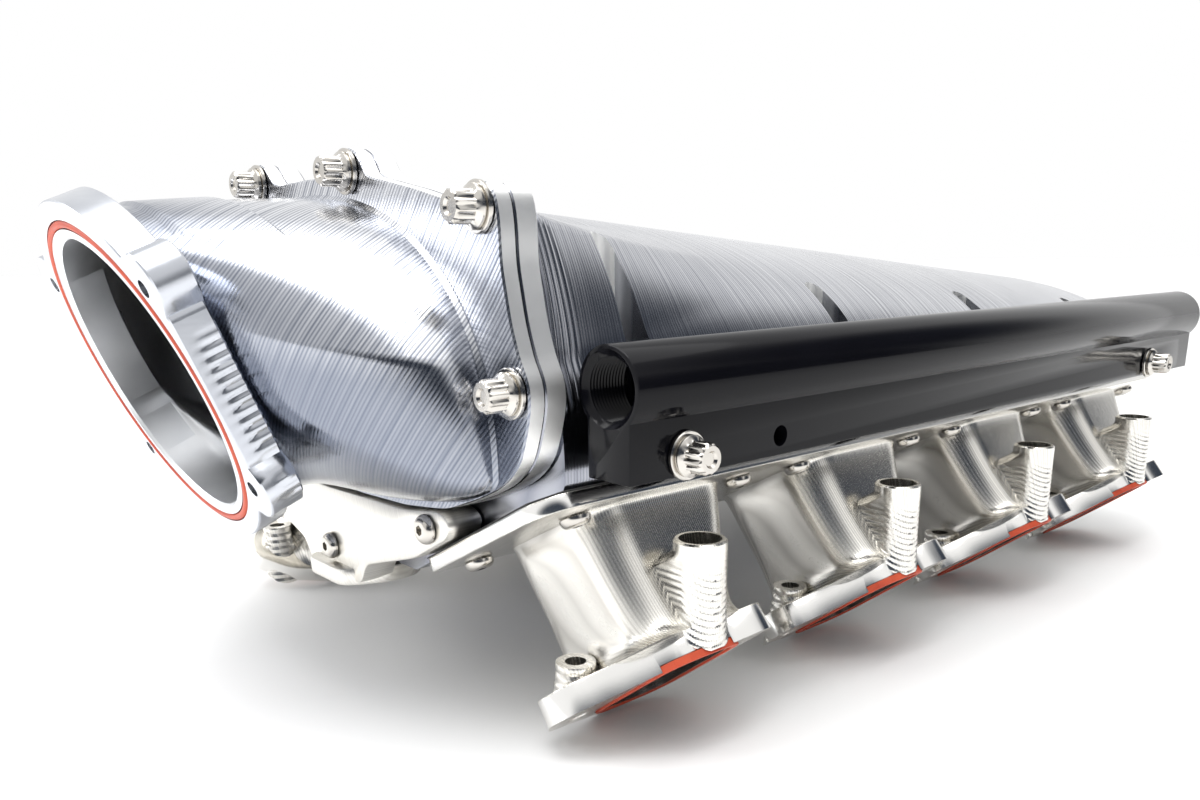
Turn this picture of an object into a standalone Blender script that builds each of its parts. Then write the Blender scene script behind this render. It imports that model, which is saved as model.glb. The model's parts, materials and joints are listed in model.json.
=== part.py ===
"""V8 intake manifold: plenum, front snout, two runner banks, two fuel rails and their fasteners.

Frame: metres, +Z up, -Y towards the throttle end, origin on the ground under the middle of the
whole manifold. The manifold stands on the lower edges of its port flanges.
"""
import math

import bpy
from mathutils import Matrix, Vector

MM = 0.001
GAP = 0.3 * MM

# Cylinder layout
BORE_PITCH = 111.76 * MM
PORT_MIDDLE_Y = 42.3 * MM
CYLINDERS_PER_BANK = 4
PORT_Y = [PORT_MIDDLE_Y + (i - 1.5) * BORE_PITCH for i in range(CYLINDERS_PER_BANK)]
RUNNER_TOP_SHIFT = 8.4 * MM

# Head face: slopes down towards the valley
HEAD_ANGLE = math.radians(37.5)
HEAD_EDGE_X = 155.5 * MM
HEAD_EDGE_Z = 40.06 * MM
PORT_WIDTH = 28.0 * MM
PORT_HEIGHT = 48.0 * MM
PORT_CENTRE_DOWN = 33.0 * MM
PORT_CORNER = 9.0 * MM
PORT_FLANGE_THICKNESS = 11.0 * MM
HEAD_BOLT_X = 117.6 * MM
HEAD_BOLT_AHEAD = 30.7 * MM
HEAD_BOLT_BOSS_RADIUS = 6.9 * MM
HEAD_BOLT_HOLE_RADIUS = 3.6 * MM
HEAD_BOLT_BOSS_TOP = 31.4 * MM

# Plane where the banks are screwed up under the plenum
SEAT_ANGLE = math.radians(27.0)
SEAT_X = 121.8 * MM
SEAT_Z = 89.4 * MM
BANK_FLANGE_THICKNESS = 5.2 * MM
BANK_INNER_X = 62.0 * MM
BANK_OUTER_X = 130.0 * MM
BANK_FRONT_Y = -178.0 * MM
BANK_REAR_Y = 264.0 * MM
BANK_GASKET = 0.8 * MM
RUNNER_TOP_X = 92.0 * MM
RUNNER_SECTIONS = [(45.0 * MM, 60.0 * MM, 13.0 * MM), (55.0 * MM, 59.0 * MM, 15.0 * MM),
                   (69.0 * MM, 59.0 * MM, 16.0 * MM)]
TRACT_TOP = (52.0 * MM, 46.0 * MM, 14.0 * MM)
BANK_SCREW_X = 115.1 * MM
BANK_SCREW_REACH = 38.6 * MM
BANK_INNER_SCREW_X = 69.5 * MM
BANK_INNER_SCREW_YS = (-162.0 * MM, 257.0 * MM)

# Injector bosses and fuel rails
INJECTOR_X = 144.0 * MM
INJECTOR_RIM_Z = 72.8 * MM
INJECTOR_BOSS_RADIUS = 8.75 * MM
INJECTOR_BORE_RADIUS = 7.0 * MM
INJECTOR_WEB_TOP_Z = 62.0 * MM
INJECTOR_WEB_LENGTH = 20.0 * MM
RAIL_TUBE_Z = 123.7 * MM
RAIL_TUBE_RADIUS = 12.7 * MM
RAIL_WEB_HALF = 9.0 * MM
RAIL_BOTTOM_Z = 97.0 * MM
RAIL_FRONT_Y = -163.9 * MM
RAIL_REAR_Y = 247.0 * MM
RAIL_BORE_RADIUS = 7.9 * MM
RAIL_BOLT_Z = 103.3 * MM
RAIL_BOLT_AHEAD = 16.6 * MM
RAIL_SPACER_RADIUS = 6.0 * MM

# Plenum
SILL_Z = 97.0 * MM
BODY_HALF_WIDTH = 129.0 * MM
BODY_SQUARENESS = 2.3
PLENUM_FRONT_Y = -176.0 * MM
PLENUM_FLANGE_BACK_Y = -168.0 * MM
PLENUM_REAR_Y = 266.0 * MM
PLENUM_TOP_FRONT = 90.0 * MM
PLENUM_TOP_FALL = 0.093
SHOULDER_ROOM = (114.0 * MM, 84.0 * MM, 17.0 * MM)  # half width, height, depth of the duct at the joint
MOUTH_ROOM = (106.0 * MM, 76.0 * MM, 11.0 * MM)  # the same for the air way at the joint
REAR_ROUND = 30.0 * MM
REAR_SIDE_SHARE = 0.12  # how much of the rear rounding the sides take
PLENUM_WALL = 8.0 * MM
KEEL_Z = 47.0 * MM

# Snout and throttle flange
THROTTLE_Y = -243.2 * MM
THROTTLE_Z = 121.6 * MM
THROTTLE_TILT = math.radians(21.7)
THROTTLE_BORE_RADIUS = 49.0 * MM
THROTTLE_FLANGE_THICKNESS = 12.0 * MM
THROTTLE_BOLT_X = 49.8 * MM
THROTTLE_BOLT_UP = 33.6 * MM
SEAL_RADIUS = 54.0 * MM
GROOVE_HALF_WIDTH = 1.5 * MM
GROOVE_DEPTH = 2.3 * MM
SEAL_SEAT = 2.0 * MM
SEAL_HEIGHT = 2.6 * MM
SEAL_HALF_WIDTH = 1.2 * MM
NECK_RADIUS = 54.5 * MM
JOINT_FRONT_Y = -182.0 * MM
JOINT_BOLTS = [(36.0 * MM, 188.0 * MM), (111.7 * MM, 173.6 * MM), (123.5 * MM, 122.5 * MM)]
JOINT_HALF_OUTLINE = [
    (0.0, 187.5), (24.0, 187.3), (29.0, 193.6), (36.0, 196.0), (43.0, 193.2), (48.0, 186.0), (76.0, 180.5),
    (102.0, 174.5), (106.5, 180.2), (113.0, 181.9), (119.0, 177.5), (120.4, 169.0), (120.6, 158.0),
    (124.0, 142.0), (127.5, 132.0), (131.3, 126.0), (131.8, 119.0), (129.5, 111.0), (126.0, 102.0),
    (118.0, 94.5), (106.0, 89.0), (86.0, 81.6), (60.0, 78.4), (30.0, 77.2), (0.0, 77.0)]

# End plate under the snout
END_PLATE_SCREWS = [(0.0, 51.5 * MM), (73.0 * MM, 72.6 * MM), (-73.0 * MM, 72.6 * MM)]
FOOT_Z = 38.5 * MM
FOOT_TOP_Z = 45.2 * MM

THREAD_RADIUS = 3.0 * MM
SCREW_HOLE_RADIUS = 3.4 * MM
ROUND = 32
SEAL_POINTS = 40


# ---------------------------------------------------------------- scene and materials

def clear_scene():
    """Remove every object that the file opened with."""
    for obj in list(bpy.data.objects):
        bpy.data.objects.remove(obj, do_unlink=True)


def finish(name, colour, roughness, metallic):
    """Make a material from one colour, roughness and metallic value."""
    material = bpy.data.materials.new(name)
    material.use_nodes = True
    shader = material.node_tree.nodes["Principled BSDF"]
    shader.inputs["Base Color"].default_value = (*colour, 1.0)
    shader.inputs["Roughness"].default_value = roughness
    shader.inputs["Metallic"].default_value = metallic
    return material


def machined_aluminium(name):
    """Bright billet aluminium."""
    return finish(name, (0.78, 0.79, 0.80), 0.25, 1.0)


def satin_aluminium(name):
    """Softer silver aluminium."""
    return finish(name, (0.76, 0.75, 0.71), 0.35, 1.0)


def black_anodised(name):
    """Gloss black anodised aluminium."""
    return finish(name, (0.012, 0.012, 0.014), 0.18, 0.3)


def plated_steel(name):
    """Nickel plated steel."""
    return finish(name, (0.66, 0.64, 0.60), 0.2, 1.0)


def red_silicone(name):
    """Orange-red silicone rubber."""
    return finish(name, (0.62, 0.08, 0.03), 0.5, 0.0)


def dark_gasket(name):
    """Dark composite gasket sheet."""
    return finish(name, (0.06, 0.06, 0.065), 0.7, 0.0)


# ---------------------------------------------------------------- mesh building

def add_object(name, vertices, faces, material):
    """Make an object from vertices and faces, smooth with sharp edges kept."""
    mesh = bpy.data.meshes.new(name)
    mesh.from_pydata([tuple(v) for v in vertices], [], faces)
    mesh.materials.append(material)
    mesh.shade_smooth()
    mesh.set_sharp_from_angle(angle=math.radians(30.0))
    obj = bpy.data.objects.new(name, mesh)
    bpy.context.collection.objects.link(obj)
    return obj


def bridge(rings, tunnel):
    """Join equal rings with quads; close the ends, or join last to first as a tunnel."""
    count = len(rings[0])
    vertices = [point for ring in rings for point in ring]
    faces = []
    spans = len(rings) if tunnel else len(rings) - 1
    for r in range(spans):
        a = r * count
        b = ((r + 1) % len(rings)) * count
        for k in range(count):
            n = (k + 1) % count
            faces.append((a + k, a + n, b + n, b + k))
    if not tunnel:
        last = (len(rings) - 1) * count
        faces.append(tuple(reversed(range(count))))
        faces.append(tuple(last + k for k in range(count)))
    return vertices, faces


def solid(name, rings, material, tunnel=False):
    """Closed solid through rings, with its faces turned outwards."""
    vertices, faces = bridge(rings, tunnel)
    obj = add_object(name, vertices, faces, material)
    if signed_volume(obj.data) < 0.0:
        obj.data.flip_normals()
    return obj


def signed_volume(mesh):
    """Volume enclosed by a mesh, negative when its faces point inwards."""
    total = 0.0
    for face in mesh.polygons:
        corners = [mesh.vertices[i].co for i in face.vertices]
        for k in range(1, len(corners) - 1):
            total += corners[0].dot(corners[k].cross(corners[k + 1]))
    return total / 6.0


def prism(name, outline, placing, depth, material):
    """Extrude an (x, y) outline along local Z from 0 to depth."""
    low = [placing @ Vector((x, y, 0.0)) for x, y in outline]
    high = [placing @ Vector((x, y, depth)) for x, y in outline]
    return solid(name, [low, high], material)


def frame_ring(name, outer, inner, placing, depth, material):
    """Ring between two outlines of equal count, extruded along local Z."""
    loops = [(outer, 0.0), (outer, depth), (inner, depth), (inner, 0.0)]
    rings = [[placing @ Vector((x, y, height)) for x, y in outline] for outline, height in loops]
    return solid(name, rings, material, tunnel=True)


def combine(target, tools, operation):
    """Union with the tools or cut them out of the target, then remove the tools."""
    for tool in tools:
        modifier = target.modifiers.new(operation, "BOOLEAN")
        modifier.operation = operation
        modifier.solver = "EXACT"
        modifier.object = tool
    bpy.context.view_layer.update()
    shaped = bpy.data.meshes.new_from_object(target.evaluated_get(bpy.context.evaluated_depsgraph_get()))
    target.modifiers.clear()
    target.data = shaped
    target.data.shade_smooth()
    target.data.set_sharp_from_angle(angle=math.radians(30.0))
    for tool in tools:
        bpy.data.objects.remove(tool, do_unlink=True)
    return target


def mirrored(obj, name):
    """Copy of an object for the other side of the X = 0 plane."""
    mesh = obj.data.copy()
    mesh.transform(Matrix.Diagonal((-1.0, 1.0, 1.0, 1.0)))
    mesh.flip_normals()
    mesh.name = name
    copy = bpy.data.objects.new(name, mesh)
    bpy.context.collection.objects.link(copy)
    return copy


# ---------------------------------------------------------------- placings

def axes(origin, x_axis, y_axis):
    """Placing matrix with the given origin and first two axes."""
    x_axis = Vector(x_axis).normalized()
    y_axis = Vector(y_axis).normalized()
    z_axis = x_axis.cross(y_axis)
    return Matrix((
        (x_axis.x, y_axis.x, z_axis.x, origin[0]),
        (x_axis.y, y_axis.y, z_axis.y, origin[1]),
        (x_axis.z, y_axis.z, z_axis.z, origin[2]),
        (0.0, 0.0, 0.0, 1.0)))


def head_face(y, down=0.0, lift=0.0):
    """Placing on the right head face: local X runs rearwards, local Y down the slope, Z into the part."""
    slope = Vector((-math.cos(HEAD_ANGLE), 0.0, -math.sin(HEAD_ANGLE)))
    inward = Vector((-math.sin(HEAD_ANGLE), 0.0, math.cos(HEAD_ANGLE)))
    origin = Vector((HEAD_EDGE_X, y, HEAD_EDGE_Z)) + slope * down + inward * lift
    return axes(origin, (0.0, 1.0, 0.0), slope)


def seat_face(x, y, lift=0.0):
    """Placing on the right bank seat: local X rearwards, local Y down the slope, Z up to the plenum."""
    slope = Vector((-math.cos(SEAT_ANGLE), 0.0, -math.sin(SEAT_ANGLE)))
    inward = Vector((-math.sin(SEAT_ANGLE), 0.0, math.cos(SEAT_ANGLE)))
    z = SEAT_Z - (SEAT_X - x) * math.tan(SEAT_ANGLE)
    return axes(Vector((x, y, z)) + inward * lift, (0.0, 1.0, 0.0), slope)


def throttle_face(lift=0.0):
    """Placing on the throttle flange: local X across, local Y up the tilted face, Z out to the front."""
    up = Vector((0.0, -math.sin(THROTTLE_TILT), math.cos(THROTTLE_TILT)))
    out = Vector((0.0, -math.cos(THROTTLE_TILT), -math.sin(THROTTLE_TILT)))
    return axes(Vector((0.0, THROTTLE_Y, THROTTLE_Z)) + out * lift, (1.0, 0.0, 0.0), up)


def along_y(x, y, z):
    """Placing whose local Z points forwards, along -Y."""
    return axes((x, y, z), (1.0, 0.0, 0.0), (0.0, 0.0, 1.0))


def upright(x, y, z):
    """Placing whose local Z points up."""
    return Matrix.Translation((x, y, z))


def sideways(x, y, z):
    """Placing whose local Z points out of the right side, along +X."""
    return axes((x, y, z), (0.0, 1.0, 0.0), (0.0, 0.0, 1.0))


# ---------------------------------------------------------------- outlines

def rounded_box(width, height, corner, per_corner):
    """Rounded rectangle outline about the origin."""
    outline = []
    for quarter in range(4):
        sx = 1.0 if quarter in (0, 3) else -1.0
        sy = 1.0 if quarter in (0, 1) else -1.0
        cx = sx * (width / 2.0 - corner)
        cy = sy * (height / 2.0 - corner)
        for k in range(per_corner):
            angle = math.pi / 2.0 * (quarter + k / (per_corner - 1))
            outline.append((cx + corner * math.cos(angle), cy + corner * math.sin(angle)))
    return outline


def circle(radius, count, centre=(0.0, 0.0)):
    """Circle outline, its first point half a step round."""
    turns = [2.0 * math.pi * (k + 0.5) / count for k in range(count)]
    return [(centre[0] + radius * math.cos(t), centre[1] + radius * math.sin(t)) for t in turns]


def ear_reach(angle, centre, radius):
    """Distance along a ray at an angle to the far side of a round ear, or 0 when it misses."""
    along = centre[0] * math.cos(angle) + centre[1] * math.sin(angle)
    rest = radius ** 2 - (centre[0] ** 2 + centre[1] ** 2) + along ** 2
    return along + math.sqrt(rest) if rest > 0.0 and along > 0.0 else 0.0


def dome_reach(angle, half_width, height, drop):
    """Distance from the sill centre to a domed section that is flatter below the sill."""
    side = abs(math.cos(angle)) / half_width
    rise = abs(math.sin(angle)) / (height if math.sin(angle) >= 0.0 else drop)
    return (side ** BODY_SQUARENESS + rise ** BODY_SQUARENESS) ** (-1.0 / BODY_SQUARENESS)


def vee_reach(angle, half_width, height, inset):
    """Distance from the sill centre to a section with a V floor that seats both banks."""
    if math.sin(angle) >= 0.0:
        return dome_reach(angle, half_width, height, height)
    down = -math.sin(angle)
    side = abs(math.cos(angle))
    reach = [half_width / max(side, 1e-6), (SILL_Z - KEEL_Z - inset) / down]
    seat_depth = SILL_Z - SEAT_Z + SEAT_X * math.tan(SEAT_ANGLE) - inset / math.cos(SEAT_ANGLE)
    reach.append(seat_depth / (down + side * math.tan(SEAT_ANGLE)))
    return min(reach)


def ring_angles():
    """Angles round a section: even steps, and one at each corner of the joint outline."""
    corners = []
    for x, z in JOINT_HALF_OUTLINE:
        for side in (1.0, -1.0):
            corners.append(math.atan2(z * MM - SILL_Z, side * x * MM) % (2.0 * math.pi))
    angles = sorted(corners)
    least = math.radians(2.4)
    for k in range(ROUND):
        angle = 2.0 * math.pi * k / ROUND
        if all(abs((angle - a + math.pi) % (2.0 * math.pi) - math.pi) > least for a in corners):
            angles.append(angle)
    kept = []
    for angle in sorted(angles):
        if not kept or angle - kept[-1] > math.radians(0.2):
            kept.append(angle)
    return kept


def joint_reach(angle, inset):
    """Distance from the sill centre to the joint outline, drawn in by an inset."""
    points = [(x * MM, z * MM - SILL_Z) for x, z in JOINT_HALF_OUTLINE]
    dx, dz = abs(math.cos(angle)), math.sin(angle)
    best = 0.0
    for (ax, az), (bx, bz) in zip(points, points[1:]):
        across = dx * (bz - az) - dz * (bx - ax)
        if abs(across) < 1e-12:
            continue
        reach = (ax * (bz - az) - az * (bx - ax)) / across
        share = (dz * ax - dx * az) / across
        if reach > 0.0 and -1e-6 <= share <= 1.0 + 1e-6:
            best = max(best, reach)
    return best - inset


def section(y, reach):
    """Ring of points at a station along Y, from the distance at each angle."""
    ring = []
    for angle in ring_angles():
        r = reach(angle)
        ring.append(Vector((r * math.cos(angle), y, SILL_Z + r * math.sin(angle))))
    return ring


def throttle_reach(angle):
    """Throttle flange outline: round top and bottom, flat sides and an ear at each bolt."""
    flat_side = 57.0 * MM
    crown = 61.8 * MM
    reach = crown
    if abs(math.cos(angle)) > 1e-6:
        reach = min(reach, flat_side / abs(math.cos(angle)))
    for sx in (1.0, -1.0):
        for sy in (1.0, -1.0):
            reach = max(reach, ear_reach(angle, (sx * THROTTLE_BOLT_X, sy * THROTTLE_BOLT_UP), 10.5 * MM))
    return reach


def throttle_ring(lift, reach):
    """Ring of points on a plane parallel to the throttle face."""
    placing = throttle_face(lift)
    return [placing @ Vector((reach(a) * math.cos(a), reach(a) * math.sin(a), 0.0)) for a in ring_angles()]


def blend_rings(first, last, steps, swell):
    """Rings between two rings: even steps along Y, an eased swell across."""
    rings = []
    for k in range(1, steps):
        t = k / steps
        s = math.sin(math.pi / 2.0 * t) ** swell
        ring = []
        for a, b in zip(first, last):
            ring.append(Vector((a.x + (b.x - a.x) * s, a.y + (b.y - a.y) * t, a.z + (b.z - a.z) * s)))
        rings.append(ring)
    return rings


# ---------------------------------------------------------------- fasteners

def flanged_bolt(name, placing, reach_in, material):
    """Bolt with a washer, a flanged twelve-point head and a plain shank; Z points out of the head."""
    profile = [(0.0, -reach_in), (THREAD_RADIUS, -reach_in), (THREAD_RADIUS, 0.0), (7.4 * MM, 0.0),
               (7.4 * MM, 1.5 * MM), (6.3 * MM, 1.5 * MM), (6.1 * MM, 3.2 * MM), (4.7 * MM, 3.9 * MM),
               (4.7 * MM, 10.2 * MM), (0.0, 10.2 * MM)]
    return closed_turning(name, profile, placing, material, 12)


def button_screw(name, placing, reach_in, material):
    """Button head socket screw; Z points out of the head."""
    profile = [(0.0, -reach_in), (THREAD_RADIUS, -reach_in), (THREAD_RADIUS, 0.0), (5.25 * MM, 0.0),
               (4.6 * MM, 2.0 * MM), (2.3 * MM, 3.3 * MM), (1.9 * MM, 3.3 * MM), (1.9 * MM, 1.4 * MM),
               (0.0, 1.4 * MM)]
    return closed_turning(name, profile, placing, material, 12)


def closed_turning(name, profile, placing, material, segments):
    """Turning whose first and last points are single points on the axis."""
    vertices = [placing @ Vector((0.0, 0.0, profile[0][1]))]
    faces = []
    body = profile[1:-1]
    for radius, height in body:
        for k in range(segments):
            angle = 2.0 * math.pi * k / segments
            vertices.append(placing @ Vector((radius * math.cos(angle), radius * math.sin(angle), height)))
    vertices.append(placing @ Vector((0.0, 0.0, profile[-1][1])))
    last = len(vertices) - 1
    for k in range(segments):
        n = (k + 1) % segments
        faces.append((0, 1 + n, 1 + k))
        for r in range(len(body) - 1):
            a = 1 + r * segments
            b = a + segments
            faces.append((a + k, a + n, b + n, b + k))
        top = 1 + (len(body) - 1) * segments
        faces.append((last, top + k, top + n))
    return add_object(name, vertices, faces, material)


def drill(placing, radius, start, end, segments=16):
    """Round cutter along local Z from start to end."""
    return prism("drill", circle(radius, segments), placing @ Matrix.Translation((0.0, 0.0, start)),
                 end - start, None)


# ---------------------------------------------------------------- sub-parts

def make_snout(material):
    """Front snout: tilted throttle flange, swelling duct and joint flange, open right through."""
    thickness = THROTTLE_FLANGE_THICKNESS
    face = throttle_ring(0.0, throttle_reach)
    back = throttle_ring(-thickness, throttle_reach)
    neck = throttle_ring(-thickness, lambda a: NECK_RADIUS)
    shoulder = section(JOINT_FRONT_Y, lambda a: dome_reach(a, *SHOULDER_ROOM))
    joint_front = section(JOINT_FRONT_Y, lambda a: joint_reach(a, 0.0))
    back_y = PLENUM_FRONT_Y - GAP
    joint_back = section(back_y, lambda a: joint_reach(a, 0.0))
    mouth = section(back_y, lambda a: dome_reach(a, *MOUTH_ROOM))
    bore_end = throttle_ring(-thickness - 2.0 * MM, lambda a: THROTTLE_BORE_RADIUS)
    bore = throttle_ring(0.0, lambda a: THROTTLE_BORE_RADIUS)
    rings = [face, back, neck]
    rings += blend_rings(neck, shoulder, 7, 0.8)
    rings += [shoulder, joint_front, joint_back, mouth]
    rings += list(reversed(blend_rings(bore_end, mouth, 6, 0.8)))
    rings += [bore_end, bore]
    snout = solid("snout", rings, material, tunnel=True)
    outer = circle(SEAL_RADIUS + GROOVE_HALF_WIDTH, SEAL_POINTS)
    inner = circle(SEAL_RADIUS - GROOVE_HALF_WIDTH, SEAL_POINTS)
    tools = [frame_ring("groove", outer, inner, throttle_face(-GROOVE_DEPTH), 4.0 * MM, None)]
    for sx in (1.0, -1.0):
        for sy in (1.0, -1.0):
            place = throttle_face() @ Matrix.Translation((sx * THROTTLE_BOLT_X, sy * THROTTLE_BOLT_UP, 0.0))
            tools.append(drill(place, 2.6 * MM, -thickness - 4.0 * MM, 1.0 * MM, 12))
        for x, z in JOINT_BOLTS:
            tools.append(drill(along_y(sx * x, JOINT_FRONT_Y, z), SCREW_HOLE_RADIUS, -8.0 * MM, 2.0 * MM, 12))
    return combine(snout, tools, "DIFFERENCE")


def make_throttle_seal(material):
    """Seal ring standing a little proud of the groove in the throttle flange."""
    outer = circle(SEAL_RADIUS + SEAL_HALF_WIDTH, SEAL_POINTS)
    inner = circle(SEAL_RADIUS - SEAL_HALF_WIDTH, SEAL_POINTS)
    seal = frame_ring("throttle_seal", outer, inner, throttle_face(-SEAL_SEAT), SEAL_HEIGHT, material)
    return seal


def plenum_top(y):
    """Height of the dome above the sill at a station."""
    return PLENUM_TOP_FRONT - PLENUM_TOP_FALL * (y - PLENUM_FRONT_Y)


def make_plenum(material):
    """Domed plenum with a joint flange, a rounded rear end, a V floor and eight runner slots."""
    rings = [section(PLENUM_FRONT_Y, lambda a: joint_reach(a, 0.0))]
    rings += [section(PLENUM_FLANGE_BACK_Y, lambda a: joint_reach(a, 0.0))]
    body_front = PLENUM_FLANGE_BACK_Y + 0.2 * MM
    stations = [body_front + (PLENUM_REAR_Y - REAR_ROUND - body_front) * k / 4.0 for k in range(5)]
    for y in stations:
        rings.append(section(y, lambda a, y=y: vee_reach(a, BODY_HALF_WIDTH, plenum_top(y) - 2.0 * MM, 0.0)))
    for k in range(1, 5):
        turn = math.pi / 2.0 * k / 4.0
        y = PLENUM_REAR_Y - REAR_ROUND + REAR_ROUND * math.sin(turn)
        shrink = REAR_ROUND * (1.0 - math.cos(turn))
        width = BODY_HALF_WIDTH - shrink * REAR_SIDE_SHARE
        rings.append(section(y, lambda a, w=width, h=plenum_top(y) - 2.0 * MM - shrink:
                             vee_reach(a, w, h, 0.0)))
    plenum = solid("plenum", rings, material)
    wall = PLENUM_WALL
    hollow = [section(PLENUM_FRONT_Y - 3.0 * MM,
                      lambda a: dome_reach(a, *MOUTH_ROOM)),
              section(PLENUM_FLANGE_BACK_Y + 4.0 * MM,
                      lambda a: dome_reach(a, *MOUTH_ROOM))]
    for y in (PLENUM_FLANGE_BACK_Y + 14.0 * MM, 40.0 * MM, 210.0 * MM):
        height = plenum_top(y) - wall - 2.0 * MM
        hollow.append(section(y, lambda a, h=height: vee_reach(a, BODY_HALF_WIDTH - wall, h, wall)))
    hollow.append(section(PLENUM_REAR_Y - wall - 4.6 * MM,
                          lambda a: vee_reach(a, 96.0 * MM, 31.0 * MM, wall + 0.7 * MM)))
    tools = [solid("hollow", hollow, None)]
    for side in (1.0, -1.0):
        flip = Matrix.Diagonal((side, 1.0, 1.0, 1.0))
        for port_y in PORT_Y:
            slot = prism("slot", rounded_box(52.0 * MM, 44.0 * MM, 14.0 * MM, 4),
                         seat_face(RUNNER_TOP_X, port_y + RUNNER_TOP_SHIFT, -5.0 * MM), 24.0 * MM, None)
            tools.append(place_side(slot, flip, side))
        for x, y in bank_screw_places():
            hole = drill(seat_face(x, y), SCREW_HOLE_RADIUS, -2.0 * MM, 5.6 * MM, 8)
            tools.append(place_side(hole, flip, side))
        for x, z in JOINT_BOLTS:
            place = along_y(side * x, PLENUM_FRONT_Y, z)
            tools.append(drill(place, SCREW_HOLE_RADIUS, -6.8 * MM, 2.0 * MM, 12))
        for y in rail_bolt_ys():
            place = sideways(BODY_HALF_WIDTH, y, RAIL_BOLT_Z)
            hole = drill(place, SCREW_HOLE_RADIUS, -6.0 * MM, 3.0 * MM, 12)
            tools.append(place_side(hole, flip, side))
    for x, z in END_PLATE_SCREWS:
        tools.append(drill(along_y(x, PLENUM_FLANGE_BACK_Y, z), SCREW_HOLE_RADIUS, -5.5 * MM, 3.0 * MM, 12))
    return combine(plenum, tools, "DIFFERENCE")


def place_side(obj, flip, side):
    """Move a right-hand solid to its side, keeping its faces outwards."""
    obj.data.transform(flip)
    if side < 0.0:
        obj.data.flip_normals()
    return obj


def make_joint_seal(material):
    """Thin seal ring between the snout and plenum flanges, inside the bolts."""
    outer = section(0.0, lambda a: dome_reach(a, 110.6 * MM, 80.6 * MM, 14.2 * MM))
    inner = section(0.0, lambda a: dome_reach(a, 108.0 * MM, 78.0 * MM, 12.4 * MM))
    rings = []
    for ring, y in ((outer, -0.2), (outer, 0.0), (inner, 0.0), (inner, -0.2)):
        rings.append([Vector((p.x, PLENUM_FRONT_Y - 0.05 * MM + y * MM, p.z)) for p in ring])
    return solid("joint_seal", rings, material, tunnel=True)


def bank_screw_places():
    """(x, y) of each screw that holds a bank up to the plenum."""
    places = []
    for port_y in PORT_Y:
        for reach in (-BANK_SCREW_REACH, BANK_SCREW_REACH):
            places.append((BANK_SCREW_X, port_y + RUNNER_TOP_SHIFT + reach))
    places += [(BANK_INNER_SCREW_X, y) for y in BANK_INNER_SCREW_YS]
    return places


def rail_bolt_ys():
    """Stations of the two bolts through each rail."""
    return (PORT_Y[0] - RAIL_BOLT_AHEAD, PORT_Y[-1] - RAIL_BOLT_AHEAD)


def bank_flange_outline(inset):
    """Outline of a bank's seat in (rearwards, down the slope) about the runner row's centre."""
    low = (RUNNER_TOP_X - BANK_INNER_X) / math.cos(SEAT_ANGLE) - inset
    high = (RUNNER_TOP_X - BANK_OUTER_X) / math.cos(SEAT_ANGLE) + inset
    front = BANK_FRONT_Y + inset
    rear = BANK_REAR_Y - inset
    cut = 8.0 * MM
    return [(front, low), (front, high + cut), (front + cut, high), (rear - cut, high), (rear, high + cut),
            (rear, low)]


def port_lobe():
    """Outline of one port flange in (rearwards, down the slope) from the head edge."""
    points = [(-10.0, 0.0), (-16.0, 2.0), (-22.0, 14.0), (-30.0, 25.0), (-42.0, 33.0), (-45.0, 46.0),
              (-32.0, 58.0), (-10.0, 65.8), (6.0, 65.8), (20.0, 60.0), (27.5, 46.0), (25.0, 0.0)]
    return [(x * MM, y * MM) for x, y in points]


def boss_web():
    """Outline of the web that ties an injector boss to its runner, about the boss axis."""
    half = INJECTOR_BOSS_RADIUS * 0.94
    return [(-INJECTOR_WEB_LENGTH, -half), (0.0, -half), (0.0, half), (-INJECTOR_WEB_LENGTH, half)]


def runner_ring(placing, width, height, corner):
    """Rounded ring of a runner section."""
    return [placing @ Vector((x, y, 0.0)) for x, y in rounded_box(width, height, corner, 4)]


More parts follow.
